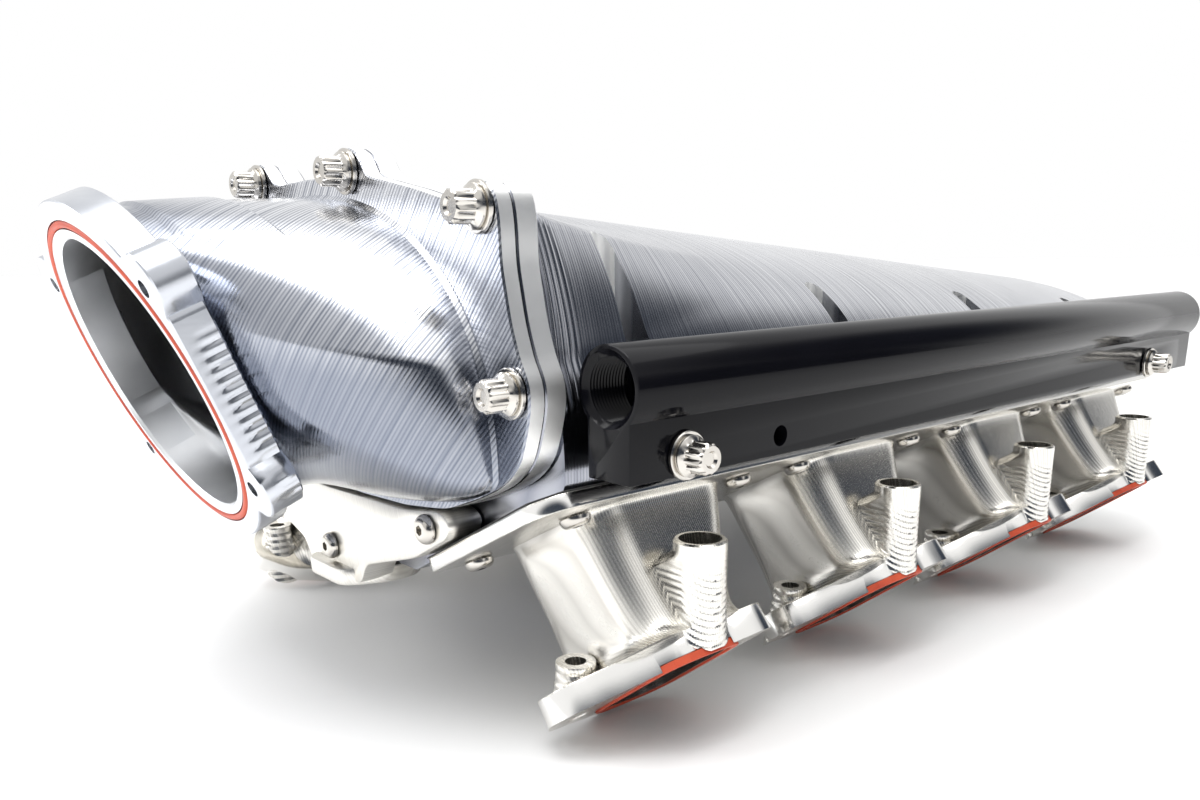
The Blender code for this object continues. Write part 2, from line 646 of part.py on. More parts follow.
def make_runner_bank(material):
    """Right bank: seat flange, four runners, port flanges, injector bosses and head bolt bosses."""
    seat = seat_face(RUNNER_TOP_X, 0.0, -BANK_GASKET - BANK_FLANGE_THICKNESS)
    bank = prism("runner_bank_right", bank_flange_outline(0.0), seat, BANK_FLANGE_THICKNESS, material)
    added = []
    for port_y in PORT_Y:
        top = seat_face(RUNNER_TOP_X, port_y + RUNNER_TOP_SHIFT, -BANK_GASKET - 2.0 * MM)
        foot = head_face(port_y - 1.0 * MM, PORT_CENTRE_DOWN, 5.0 * MM)
        waist = middle_placing(top, foot)
        rings = [runner_ring(place, *size) for place, size in zip((foot, waist, top), RUNNER_SECTIONS)]
        added.append(solid("runner", rings, None))
        added.append(prism("lobe", port_lobe(), head_face(port_y), PORT_FLANGE_THICKNESS, None))
        boss_foot = HEAD_EDGE_Z - (HEAD_EDGE_X - INJECTOR_X) * math.tan(HEAD_ANGLE) + 8.0 * MM
        added.append(prism("boss", circle(INJECTOR_BOSS_RADIUS, 24), upright(INJECTOR_X, port_y, boss_foot),
                           INJECTOR_RIM_Z - boss_foot, None))
        added.append(prism("boss_web", boss_web(), upright(INJECTOR_X, port_y, boss_foot),
                           INJECTOR_WEB_TOP_Z - boss_foot, None))
        bolt_foot = HEAD_EDGE_Z - (HEAD_EDGE_X - HEAD_BOLT_X) * math.tan(HEAD_ANGLE) + 7.0 * MM
        added.append(prism("bolt_boss", circle(HEAD_BOLT_BOSS_RADIUS, 16),
                           upright(HEAD_BOLT_X, port_y - HEAD_BOLT_AHEAD, bolt_foot),
                           HEAD_BOLT_BOSS_TOP - bolt_foot, None))
    combine(bank, added, "UNION")
    cuts = []
    for port_y in PORT_Y:
        top = seat_face(RUNNER_TOP_X, port_y + RUNNER_TOP_SHIFT, 2.0 * MM)
        waist_low = head_face(port_y - 1.0 * MM, PORT_CENTRE_DOWN, 10.0 * MM)
        foot = head_face(port_y - 1.0 * MM, PORT_CENTRE_DOWN, -2.0 * MM)
        rings = [runner_ring(foot, PORT_WIDTH, PORT_HEIGHT, PORT_CORNER),
                 runner_ring(waist_low, PORT_WIDTH, PORT_HEIGHT, PORT_CORNER),
                 runner_ring(top, *TRACT_TOP)]
        cuts.append(solid("tract", rings, None))
        rim = upright(INJECTOR_X, port_y, INJECTOR_RIM_Z)
        cuts.append(drill(rim, INJECTOR_BORE_RADIUS, -24.0 * MM, 2.0 * MM, 24))
        cuts.append(drill(upright(HEAD_BOLT_X, port_y - HEAD_BOLT_AHEAD, 0.0), HEAD_BOLT_HOLE_RADIUS,
                          -5.0 * MM, 40.0 * MM, 12))
        groove = rounded_box(PORT_WIDTH + 10.0 * MM, PORT_HEIGHT + 10.0 * MM, PORT_CORNER + 5.0 * MM, 5)
        groove_in = rounded_box(PORT_WIDTH + 3.4 * MM, PORT_HEIGHT + 3.4 * MM, PORT_CORNER + 1.7 * MM, 5)
        cuts.append(frame_ring("groove", groove, groove_in,
                               head_face(port_y - 1.0 * MM, PORT_CENTRE_DOWN, -2.0 * MM), 4.3 * MM, None))
    for x, y in bank_screw_places():
        cuts.append(drill(seat_face(x, y), SCREW_HOLE_RADIUS, -9.0 * MM, 2.0 * MM, 8))
    return combine(bank, cuts, "DIFFERENCE")


def middle_placing(first, last):
    """Placing half way between two placings."""
    origin = (first.translation + last.translation) / 2.0
    across = first.col[1].xyz + last.col[1].xyz
    return axes(origin, (0.0, 1.0, 0.0), across)


def make_port_seal(name, port_y, side, material):
    """Seal ring in a port flange groove, standing a little proud of the head face."""
    outer = rounded_box(PORT_WIDTH + 9.4 * MM, PORT_HEIGHT + 9.4 * MM, PORT_CORNER + 4.7 * MM, 5)
    inner = rounded_box(PORT_WIDTH + 4.0 * MM, PORT_HEIGHT + 4.0 * MM, PORT_CORNER + 2.0 * MM, 5)
    ring = frame_ring(name, outer, inner, head_face(port_y - 1.0 * MM, PORT_CENTRE_DOWN, -0.6 * MM), 2.6 * MM,
                      material)
    return place_side(ring, Matrix.Diagonal((side, 1.0, 1.0, 1.0)), side)


def make_bank_gasket(material):
    """Right gasket sheet between a bank and the plenum floor, with a slot for each runner."""
    placing = seat_face(RUNNER_TOP_X, 0.0, -BANK_GASKET + 0.2 * MM)
    outline = bank_flange_outline(0.8 * MM)
    gasket = prism("bank_gasket_right", outline, placing, BANK_GASKET - 0.4 * MM, material)
    cuts = []
    for port_y in PORT_Y:
        cuts.append(prism("slot", rounded_box(54.0 * MM, 48.0 * MM, 14.0 * MM, 4),
                          seat_face(RUNNER_TOP_X, port_y + RUNNER_TOP_SHIFT, -3.0 * MM), 6.0 * MM, None))
    for x, y in bank_screw_places():
        cuts.append(drill(seat_face(x, y), SCREW_HOLE_RADIUS, -3.0 * MM, 3.0 * MM, 8))
    return combine(gasket, cuts, "DIFFERENCE")


def rail_outline():
    """Rail section in (rearward-looking x, z): a tube on a flat web with a fillet outside."""
    outline = []
    start = -math.acos(RAIL_WEB_HALF / RAIL_TUBE_RADIUS)
    turns = 20
    for k in range(turns + 1):
        angle = start + (math.pi - 2.0 * start) * k / turns
        outline.append((RAIL_TUBE_RADIUS * math.cos(angle), RAIL_TUBE_Z + RAIL_TUBE_RADIUS * math.sin(angle)))
    outline.append((-RAIL_WEB_HALF, RAIL_BOTTOM_Z))
    outline.append((RAIL_WEB_HALF, RAIL_BOTTOM_Z))
    return outline


def make_fuel_rail(material):
    """Right rail: through bore with wider ports, four injector cups, two bolt holes and a plain hole."""
    placing = along_y(INJECTOR_X, RAIL_REAR_Y, 0.0)
    length = RAIL_REAR_Y - RAIL_FRONT_Y
    rail = prism("fuel_rail_right", rail_outline(), placing, length, material)
    bore = along_y(INJECTOR_X, RAIL_REAR_Y, RAIL_TUBE_Z)
    cuts = [drill(bore, RAIL_BORE_RADIUS, -1.0 * MM, length + 1.0 * MM, 20)]
    for start, end in ((-1.0 * MM, 16.0 * MM), (length - 16.0 * MM, length + 1.0 * MM)):
        cuts.append(drill(bore, RAIL_BORE_RADIUS + 2.3 * MM, start, end, 24))
    for port_y in PORT_Y:
        foot = upright(INJECTOR_X, port_y, RAIL_BOTTOM_Z)
        cuts.append(drill(foot, INJECTOR_BORE_RADIUS, -1.0 * MM, 21.0 * MM, 16))
    for y in rail_bolt_ys() + (PORT_Y[0] + 27.2 * MM,):
        cuts.append(drill(sideways(INJECTOR_X, y, RAIL_BOLT_Z), SCREW_HOLE_RADIUS, -12.0 * MM, 12.0 * MM, 12))
    return combine(rail, cuts, "DIFFERENCE")


def make_rail_spacer(name, y, side, material):
    """Spacer tube between a rail and the plenum side."""
    inner_x = BODY_HALF_WIDTH + GAP
    length = INJECTOR_X - RAIL_WEB_HALF - GAP - inner_x
    ring = frame_ring(name, circle(RAIL_SPACER_RADIUS, 16), circle(SCREW_HOLE_RADIUS, 16),
                      sideways(inner_x, y, RAIL_BOLT_Z), length, material)
    return place_side(ring, Matrix.Diagonal((side, 1.0, 1.0, 1.0)), side)


def end_plate_outline():
    """Front outline of the end plate, right half then left half."""
    half = [(0.0, 75.0), (58.0, 76.6), (80.0, 80.0), (86.0, 76.5), (84.0, 71.0), (62.0, 59.6), (26.0, 49.0),
            (21.0, 40.0), (0.0, 40.0)]
    right = [(x * MM, z * MM) for x, z in half]
    left = [(-x, z) for x, z in reversed(right[1:-1])]
    return right + left


def make_end_plate(material):
    """Plate that closes the valley under the snout, with a lobed foot below the keel."""
    back_y = PLENUM_FLANGE_BACK_Y - GAP
    depth = back_y - JOINT_FRONT_Y
    plate = prism("end_plate", end_plate_outline(), along_y(0.0, back_y, 0.0), depth, material)
    foot = [(-22.0, -172.0), (-14.0, -187.0), (14.0, -187.0), (22.0, -172.0), (22.0, -158.0), (14.0, -150.0),
            (-14.0, -150.0), (-22.0, -158.0)]
    foot = [(x * MM, y * MM) for x, y in foot]
    pad = prism("foot", foot, upright(0.0, 0.0, FOOT_Z), FOOT_TOP_Z - FOOT_Z, None)
    combine(plate, [pad], "UNION")
    holes = [drill(along_y(x, JOINT_FRONT_Y, z), SCREW_HOLE_RADIUS, -20.0 * MM, 2.0 * MM, 12)
             for x, z in END_PLATE_SCREWS]
    return combine(plate, holes, "DIFFERENCE")


# ---------------------------------------------------------------- whole manifold

def place_fasteners(steel):
    """All visible screws and bolts, each its own piece."""
    for side, word in ((1.0, "right"), (-1.0, "left")):
        flip = Matrix.Diagonal((side, 1.0, 1.0, 1.0))
        for number, (x, z) in enumerate(JOINT_BOLTS, 1):
            place = along_y(side * x, JOINT_FRONT_Y - GAP, z)
            flanged_bolt(f"joint_bolt_{word}_{number}", place, 11.5 * MM, steel)
        for number, y in enumerate(rail_bolt_ys(), 1):
            place = sideways(INJECTOR_X + RAIL_WEB_HALF + GAP, y, RAIL_BOLT_Z)
            bolt = flanged_bolt(f"rail_bolt_{word}_{number}", place, 29.0 * MM, steel)
            place_side(bolt, flip, side)
        for number, (x, y) in enumerate(bank_screw_places(), 1):
            below = seat_face(x, y, -BANK_GASKET - BANK_FLANGE_THICKNESS - GAP)
            seat = below @ Matrix.Rotation(math.pi, 4, "X")
            screw = button_screw(f"bank_screw_{word}_{number}", seat, 11.0 * MM, steel)
            place_side(screw, flip, side)
    for number, (x, z) in enumerate(END_PLATE_SCREWS, 1):
        button_screw(f"end_plate_screw_{number}", along_y(x, JOINT_FRONT_Y - GAP, z), 18.0 * MM, steel)


def build():
    """Model the whole manifold."""
    clear_scene()
    bright = machined_aluminium("machined_aluminium")
    satin = satin_aluminium("satin_aluminium")
    black = black_anodised("black_anodised")
    steel = plated_steel("plated_steel")
    silicone = red_silicone("red_silicone")
    gasket = dark_gasket("gasket_sheet")
    make_snout(bright)
    make_throttle_seal(silicone)
    make_plenum(bright)
    make_joint_seal(silicone)
    make_end_plate(satin)
    bank = make_runner_bank(satin)
    mirrored(bank, "runner_bank_left")
    sheet = make_bank_gasket(gasket)
    mirrored(sheet, "bank_gasket_left")
    rail = make_fuel_rail(black)
    mirrored(rail, "fuel_rail_left")
    for side, word in ((1.0, "right"), (-1.0, "left")):
        for number, port_y in enumerate(PORT_Y, 1):
            make_port_seal(f"port_seal_{word}_{number}", port_y, side, silicone)
        for number, y in enumerate(rail_bolt_ys(), 1):
            make_rail_spacer(f"rail_spacer_{word}_{number}", y, side, black)
    place_fasteners(steel)


build()
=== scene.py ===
"""Looks of a billet V8 intake manifold: machined snout and plenum, runner banks, rails, bolts."""
import json
import logging
import math
from dataclasses import dataclass, field
from enum import Enum
from typing import Callable, Iterable, Optional, Sequence

import bpy
from mathutils import Matrix, Vector


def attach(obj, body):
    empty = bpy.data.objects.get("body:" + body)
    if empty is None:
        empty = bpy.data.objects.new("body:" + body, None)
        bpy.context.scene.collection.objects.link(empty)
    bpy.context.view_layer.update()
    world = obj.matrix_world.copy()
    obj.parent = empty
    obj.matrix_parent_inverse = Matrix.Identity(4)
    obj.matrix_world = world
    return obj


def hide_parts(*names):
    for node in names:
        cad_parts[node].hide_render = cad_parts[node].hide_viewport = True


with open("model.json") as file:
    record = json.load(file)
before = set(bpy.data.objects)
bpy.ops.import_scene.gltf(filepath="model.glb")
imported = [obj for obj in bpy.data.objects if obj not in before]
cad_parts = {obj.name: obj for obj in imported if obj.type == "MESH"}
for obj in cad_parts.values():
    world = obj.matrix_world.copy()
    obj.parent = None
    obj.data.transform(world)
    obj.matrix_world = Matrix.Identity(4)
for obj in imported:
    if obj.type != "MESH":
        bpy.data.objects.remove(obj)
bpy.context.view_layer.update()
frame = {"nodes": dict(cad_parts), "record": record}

MM = 0.001
TURN = 2.0 * math.pi
MIRROR = Matrix.Diagonal((-1.0, 1.0, 1.0, 1.0))
BODY = "root"
log = logging.getLogger("manifold")

Point = tuple[float, float]
Ring = list[Vector]

# Driving places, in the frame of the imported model
BORE_PITCH = 111.76 * MM
PORT_MIDDLE_Y = 42.3 * MM
PORT_YS = [PORT_MIDDLE_Y + (i - 1.5) * BORE_PITCH for i in range(4)]
SILL_Z = 97.0 * MM
JOINT_FRONT_Y = -182.0 * MM
PLENUM_FRONT_Y = -176.0 * MM
SQUARENESS = 2.3
TILT = math.radians(21.7)  # of the throttle face
SEAT_ANGLE = math.radians(27.0)  # slope of the faces where the banks meet the plenum
HEAD_ANGLE = math.radians(37.5)  # slope of the cylinder head faces
SEAT_X = 121.8 * MM
SEAT_Z = 89.4 * MM
HEAD_EDGE_X = 155.5 * MM
HEAD_EDGE_Z = 40.06 * MM
RUNNER_SHIFT = 8.4 * MM  # how far a runner leans rearwards from its port
PORT_DOWN = 33.0 * MM  # from the head face's outer edge to a port's middle
BOLT_BOSS_X = 117.6 * MM
BOLT_BOSS_AHEAD = 30.7 * MM  # from a port forwards to its head bolt
SCREW_HOLE = 3.4 * MM
SEAL_GROOVE = (1.5 * MM, 2.3 * MM)  # half width and depth
SHOULDER = (114.0 * MM, 84.0 * MM, 17.0 * MM)  # half width, height and depth of the duct at the joint
SHOULDER_FILLET = (115.2 * MM, 85.2 * MM, 17.6 * MM)
MOUTH = (106.0 * MM, 76.0 * MM, 11.0 * MM)  # the same for the air way
REAR_ROUND = 30.0 * MM
RAIL_BOLT_Z = 103.3 * MM
PLATE_SCREWS = ((0.0, 51.5), (73.0, 72.6), (-73.0, 72.6))
PLATE_BACK_Y = -168.3 * MM
FASTENER_GAP = 0.3 * MM


class Side(Enum):
    """Which side of the valley a piece is on."""

    RIGHT = 1.0
    LEFT = -1.0

    @property
    def word(self) -> str:
        """The side's name as the nodes spell it."""
        return self.name.lower()


# ---------------------------------------------------------------- shader arithmetic

class Wire:
    """One socket of a material's node tree, which Python arithmetic can combine."""

    def __init__(self, recipe: "Recipe", socket: bpy.types.NodeSocket) -> None:
        """Wrap a socket.

        Args:
            recipe: The recipe that owns the node tree.
            socket: The output socket to wrap.
        """
        self.recipe = recipe
        self.socket = socket

    def _math(self, operation: str, *others: "Wire | float") -> "Wire":
        """Combine this value with others by a Math operation."""
        values = {0: self, **{i + 1: other for i, other in enumerate(others)}}
        return self.recipe.node("ShaderNodeMath", {"operation": operation}, values)

    def __add__(self, other: "Wire | float") -> "Wire":
        """Sum."""
        return self._math("ADD", other)

    __radd__ = __add__

    def __mul__(self, other: "Wire | float") -> "Wire":
        """Product."""
        return self._math("MULTIPLY", other)

    __rmul__ = __mul__

    def __rsub__(self, other: float) -> "Wire":
        """Difference from a number."""
        return self * -1.0 + other

    def sine(self) -> "Wire":
        """Sine."""
        return self._math("SINE")

    def size(self) -> "Wire":
        """Absolute value."""
        return self._math("ABSOLUTE")

    def steps(self, low: float, high: float) -> "Wire":
        """Smooth step from 0 at low to 1 at high."""
        return self.recipe.node("ShaderNodeMapRange", {"interpolation_type": "SMOOTHSTEP"},
                                {"Value": self, "From Min": low, "From Max": high})


class Recipe:
    """Builds the node tree of one material."""

    def __init__(self, name: str) -> None:
        """Start a material.

        Args:
            name: The material's name.
        """
        self.material = bpy.data.materials.new(name)
        self.material.use_nodes = True
        self.tree = self.material.node_tree
        self.shader = self.tree.nodes["Principled BSDF"]

    def node(self, kind: str, settings: dict, values: dict, output: int | str = 0) -> Wire:
        """Add any node.

        Args:
            kind: The node's type name.
            settings: Attributes to set on it.
            values: Socket values or wires, by socket name or number.
            output: Which output to return.

        Returns:
            The chosen output.
        """
        made = self.tree.nodes.new(kind)
        for key, value in settings.items():
            setattr(made, key, value)
        for key, value in values.items():
            if isinstance(value, Wire):
                self.tree.links.new(value.socket, made.inputs[key])
            else:
                made.inputs[key].default_value = value
        return Wire(self, made.outputs[output])

    def place(self) -> Wire:
        """Object coordinates."""
        return self.node("ShaderNodeTexCoord", {}, {}, "Object")

    def along(self, direction: Sequence[float]) -> Wire:
        """Distance along a direction, in metres.

        Args:
            direction: The direction, of any length.

        Returns:
            The distance.
        """
        unit = tuple(Vector(direction).normalized())
        return self.node("ShaderNodeVectorMath", {"operation": "DOT_PRODUCT"},
                         {0: self.place(), 1: unit}, "Value")

    def noise(self, scale: float, detail: float = 2.0, stretch: Sequence[float] = (1, 1, 1)) -> Wire:
        """Noise at a number of features per metre.

        Args:
            scale: Features per metre.
            detail: Octaves.
            stretch: How much finer it is along each axis.

        Returns:
            A value from 0 to 1.
        """
        where = self.node("ShaderNodeVectorMath", {"operation": "MULTIPLY"},
                          {0: self.place(), 1: tuple(stretch)})
        return self.node("ShaderNodeTexNoise", {},
                         {"Vector": where, "Scale": scale, "Detail": detail}, "Fac")

    def blend(self, factor: Wire, first: Sequence[float], second: Sequence[float]) -> Wire:
        """Colour between two colours.

        Args:
            factor: 0 for the first, 1 for the second.
            first: Colour at 0.
            second: Colour at 1.

        Returns:
            The blended colour.
        """
        made = self.tree.nodes.new("ShaderNodeMix")
        made.data_type = "RGBA"
        self.tree.links.new(factor.socket, made.inputs[0])
        made.inputs[6].default_value = (*first, 1.0)
        made.inputs[7].default_value = (*second, 1.0)
        return Wire(self, made.outputs[2])

    def bump(self, height: Wire, depth: float, strength: float = 1.0) -> Wire:
        """Normal bumped by a height.

        Args:
            height: Height from 0 to 1.
            depth: Real height in metres of 1.
            strength: How strongly it shows.

        Returns:
            The normal.
        """
        return self.node("ShaderNodeBump", {}, {"Height": height, "Distance": depth, "Strength": strength},
                         "Normal")

    def connect(self, **inputs: Wire | float) -> bpy.types.Material:
        """Wire up the shader.

        Args:
            inputs: Shader inputs by name, with _ for spaces.

        Returns:
            The finished material.
        """
        for key, value in inputs.items():
            socket = self.shader.inputs[key.replace("_", " ")]
            if isinstance(value, Wire):
                self.tree.links.new(value.socket, socket)
            else:
                socket.default_value = value
        return self.material


# ---------------------------------------------------------------- finishes

@dataclass(frozen=True)
class Shade:
    """Painted shade and reflection: the base colour darkens in a soft step along a direction."""

    along: tuple[float, float, float]
    full: float
    none: float
    depth: float


@dataclass(frozen=True)
class MilledMetal:
    """Billet aluminium left with the fine lines of a ball cutter; any painted shade and reflection darkens
    its base colour by place.
    """

    name: str
    colour: tuple[float, float, float]
    # dark: the colour that the tool-line tone and any painted shade and reflection lean towards
    dark: tuple[float, float, float]
    roughness: float
    lines: tuple[float, float, float]
    pitch: float = 1.1 * MM
    depth: float = 0.028 * MM
    painted_shades: tuple[Shade, ...] = ()

    def make(self) -> bpy.types.Material:
        """Build the material."""
        r = Recipe(self.name)
        wander = r.noise(40.0) * (0.35 * self.pitch)
        across = r.along(self.lines) + wander
        scallop = (across * (math.pi / self.pitch)).sine().size()
        per_line = r.node("ShaderNodeTexNoise", {"noise_dimensions": "1D"},
                          {"W": across * (0.7 / self.pitch), "Scale": 1.0, "Detail": 2.0}, "Fac")
        cloud = r.noise(14.0, 3.0)
        grain = r.noise(2600.0, 2.0)
        tone_and_shade = (cloud * 0.35 + per_line * 0.5 + scallop * 0.35).steps(0.25, 1.0)
        # Painted shade and reflection: each shade darkens the tone in a soft step along its direction
        for shade in self.painted_shades:
            painted_shade = (r.along(shade.along) * -1.0).steps(-shade.none, -shade.full)
            tone_and_shade = tone_and_shade * (1.0 - painted_shade * shade.depth)
        colour = r.blend(tone_and_shade, self.dark, self.colour)
        rough = cloud * 0.10 + scallop * 0.05 + grain * 0.06 + (self.roughness - 0.1)
        height = scallop * 0.8 + per_line * 0.35 + grain * 0.1
        return r.connect(Base_Color=colour, Roughness=rough, Metallic=1.0,
                         Normal=r.bump(height, self.depth))


@dataclass(frozen=True)
class PolishedMetal:
    """Plated or polished metal with faint handling marks."""

    name: str
    colour: tuple[float, float, float]
    dark: tuple[float, float, float]
    roughness: float

    def make(self) -> bpy.types.Material:
        """Build the material."""
        r = Recipe(self.name)
        cloud = r.noise(60.0, 3.0)
        scratch = r.noise(900.0, 2.0, (1.0, 0.15, 1.0))
        colour = r.blend(cloud, self.dark, self.colour)
        rough = cloud * 0.12 + scratch * 0.06 + (self.roughness - 0.08)
        return r.connect(Base_Color=colour, Roughness=rough, Metallic=1.0,
                         Normal=r.bump(scratch, 0.01 * MM, 0.5))


@dataclass(frozen=True)
class BlackAnodised:
    """Gloss black anodising over fine lengthwise drawing lines."""

    name: str = "black_anodised"

    def make(self) -> bpy.types.Material:
        """Build the material."""
        r = Recipe(self.name)
        drawn = r.noise(1400.0, 2.0, (1.0, 0.02, 1.0))
        cloud = r.noise(25.0, 3.0)
        colour = r.blend(cloud, (0.002, 0.002, 0.003), (0.005, 0.005, 0.007))
        rough = cloud * 0.08 + drawn * 0.04 + 0.06
        return r.connect(Base_Color=colour, Roughness=rough, Specular_IOR_Level=0.16,
                         Normal=r.bump(drawn, 0.01 * MM, 0.4))


@dataclass(frozen=True)
class Silicone:
    """Orange-red silicone rubber with a dusty skin."""

    name: str = "red_silicone"

    def make(self) -> bpy.types.Material:
        """Build the material."""
        r = Recipe(self.name)
        cloud = r.noise(120.0, 3.0)
        colour = r.blend(cloud, (0.42, 0.035, 0.015), (0.72, 0.11, 0.04))
        return r.connect(Base_Color=colour, Roughness=cloud * 0.25 + 0.35,
                         Normal=r.bump(cloud, 0.03 * MM, 0.4))


@dataclass(frozen=True)
class GasketSheet:
    """Dark fibre gasket sheet."""

    name: str = "gasket_sheet"

    def make(self) -> bpy.types.Material:
        """Build the material."""
        r = Recipe(self.name)
        fibre = r.noise(900.0, 4.0)
        colour = r.blend(fibre, (0.03, 0.03, 0.032), (0.09, 0.088, 0.085))
        return r.connect(Base_Color=colour, Roughness=fibre * 0.2 + 0.6,
                         Normal=r.bump(fibre, 0.05 * MM, 0.6))


@dataclass(frozen=True)
class PaleFloor:
    """Plain pale studio floor."""

    name: str = "studio_floor"

    def make(self) -> bpy.types.Material:
        """Build the material."""
        r = Recipe(self.name)
        cloud = r.noise(3.0, 2.0)
        colour = r.blend(cloud, (0.88, 0.88, 0.88), (0.92, 0.92, 0.915))
        return r.connect(Base_Color=colour, Roughness=cloud * 0.1 + 0.5, Specular_IOR_Level=0.1)


@dataclass
class Finishes:
    """Every finish of the manifold, made once."""

    # The snout's and plenum's shades are painted shade and reflection: the snout darkens towards the throttle
    # flange and towards its bottom, the plenum towards its front and bottom
    snout: bpy.types.Material = field(default_factory=lambda: MilledMetal(
        "milled_snout", (0.86, 0.87, 0.90), (0.16, 0.18, 0.23), 0.19, (0.62, 0.55, -0.56), 1.2 * MM,
        0.028 * MM, (Shade((0.0, -math.cos(TILT), -math.sin(TILT)), 0.170, 0.128, 0.65),
                     Shade((0.0, 0.19, 1.0), 0.083, 0.094, 0.6))).make())
    plenum: bpy.types.Material = field(default_factory=lambda: MilledMetal(
        "milled_plenum", (0.90, 0.91, 0.93), (0.20, 0.21, 0.25), 0.20, (0.06, 1.0, 0.0), 1.2 * MM,
        0.024 * MM, (Shade((0.0, 0.5, 0.86), 0.02, 0.15, 0.72),)).make())
    bank: bpy.types.Material = field(default_factory=lambda: MilledMetal(
        "milled_bank", (0.92, 0.90, 0.85), (0.60, 0.58, 0.54), 0.24, (0.0, 1.0, 0.12), 0.9 * MM,
        0.02 * MM).make())
    plate: bpy.types.Material = field(default_factory=lambda: MilledMetal(
        "satin_plate", (0.90, 0.88, 0.83), (0.72, 0.70, 0.65), 0.33, (1.0, 0.0, 0.3), 0.7 * MM,
        0.012 * MM).make())
    bore: bpy.types.Material = field(default_factory=lambda: PolishedMetal(
        "smooth_bore", (0.90, 0.91, 0.92), (0.74, 0.75, 0.77), 0.34).make())
    mirror: bpy.types.Material = field(default_factory=lambda: PolishedMetal(
        "bright_edge", (0.93, 0.92, 0.90), (0.84, 0.83, 0.80), 0.13).make())
    end: bpy.types.Material = field(default_factory=lambda: MilledMetal(
        "faced_end", (0.84, 0.85, 0.87), (0.40, 0.41, 0.45), 0.26, (1.0, 0.0, 0.25), 1.2 * MM,
        0.02 * MM).make())
    pale: bpy.types.Material = field(default_factory=lambda: PolishedMetal(
        "pale_edge", (0.96, 0.96, 0.95), (0.88, 0.88, 0.87), 0.42).make())
    turned: bpy.types.Material = field(default_factory=lambda: PolishedMetal(
        "turned_face", (0.66, 0.68, 0.72), (0.48, 0.50, 0.55), 0.20).make())
    steel: bpy.types.Material = field(default_factory=lambda: PolishedMetal(
        "plated_steel", (0.74, 0.72, 0.68), (0.42, 0.39, 0.35), 0.15).make())
    black: bpy.types.Material = field(default_factory=lambda: BlackAnodised().make())
    silicone: bpy.types.Material = field(default_factory=lambda: Silicone().make())
    gasket: bpy.types.Material = field(default_factory=lambda: GasketSheet().make())
    floor: bpy.types.Material = field(default_factory=lambda: PaleFloor().make())


# ---------------------------------------------------------------- mesh tools

def deselect() -> None:
    """Leave object mode with nothing selected."""
    if bpy.context.object and bpy.context.object.mode != "OBJECT":
        bpy.ops.object.mode_set(mode="OBJECT")
    bpy.ops.object.select_all(action="DESELECT")


def activate(obj: bpy.types.Object) -> None:
    """Select one object and make it active."""
    deselect()
    obj.select_set(True)
    bpy.context.view_layer.objects.active = obj


def settle(obj: bpy.types.Object) -> None:
    """Bake an object's placing into its mesh."""
    activate(obj)
    bpy.ops.object.transform_apply(location=True, rotation=True, scale=True)


def skin(name: str, rings: Sequence[Ring], tunnel: bool = False) -> bpy.types.Object:
    """Skin equal rings of points with quads.

    Args:
        name: The object's name.
        rings: Rings of equal count, in order.
        tunnel: Join last to first instead of closing both ends.

    Returns:
        The object, with its faces outwards.
    """
    count = len(rings[0])
    vertices = [tuple(p) for ring in rings for p in ring]
    faces: list[tuple[int, ...]] = []
    spans = len(rings) if tunnel else len(rings) - 1
    for r in range(spans):
        a, b = r * count, ((r + 1) % len(rings)) * count
        faces += [(a + k, a + (k + 1) % count, b + (k + 1) % count, b + k) for k in range(count)]
    if not tunnel:
        last = (len(rings) - 1) * count
        faces += [tuple(reversed(range(count))), tuple(last + k for k in range(count))]
    mesh = bpy.data.meshes.new(name)
    mesh.from_pydata(vertices, [], faces)
    obj = bpy.data.objects.new(name, mesh)
    bpy.context.collection.objects.link(obj)
    activate(obj)
    bpy.ops.object.mode_set(mode="EDIT")
    bpy.ops.mesh.select_all(action="SELECT")
    bpy.ops.mesh.normals_make_consistent(inside=False)
    bpy.ops.object.mode_set(mode="OBJECT")
    return obj


def soften(obj: bpy.types.Object, width: float, segments: int = 2, angle: float = 40.0) -> bpy.types.Object:
    """Break an object's sharp edges.

    Args:
        obj: The object.
        width: Width of the broken edge, in metres.
        segments: Facets across it.
        angle: Edges sharper than this many degrees are broken.

    Returns:
        The same object.
    """
    activate(obj)
    bevel = obj.modifiers.new("edge", "BEVEL")
    bevel.width = width
    bevel.segments = segments
    bevel.limit_method = "ANGLE"
    bevel.angle_limit = math.radians(angle)
    bevel.use_clamp_overlap = True
    bpy.ops.object.modifier_apply(modifier=bevel.name)
    return obj


def carve(obj: bpy.types.Object, tools: Iterable[bpy.types.Object], operation: str) -> bpy.types.Object:
    """Union with or cut by other solids, and remove them.

    Args:
        obj: The object to change.
        tools: The other solids.
        operation: UNION or DIFFERENCE.

    Returns:
        The same object.
    """
    for tool in list(tools):
        activate(obj)
        step = obj.modifiers.new("carve", "BOOLEAN")
        step.operation = operation
        step.solver = "EXACT"
        step.object = tool
        bpy.ops.object.modifier_apply(modifier=step.name)
        bpy.data.objects.remove(tool, do_unlink=True)
    return obj


def smooth(obj: bpy.types.Object, angle: float = 32.0) -> bpy.types.Object:
    """Shade an object smooth below an angle in degrees."""
    activate(obj)
    bpy.ops.object.shade_smooth_by_angle(angle=math.radians(angle))
    return obj


def dress(obj: bpy.types.Object, name: str, finish: bpy.types.Material,
          nodes: Sequence[str] = ()) -> bpy.types.Object:
    """Name and finish a piece and put it on the manifold.

    Args:
        obj: The piece.
        name: Its name.
        finish: Its material.
        nodes: CAD nodes it stands for.

    Returns:
        The same object.
    """
    settle(obj)
    obj.name = name
    obj.data.name = name
    obj.data.materials.clear()
    obj.data.materials.append(finish)
    for face in obj.data.polygons:
        face.material_index = 0
    smooth(obj)
    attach(obj, BODY)
    if nodes:
        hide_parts(*nodes)
    log.info("%s: %d faces", name, len(obj.data.polygons))
    return obj


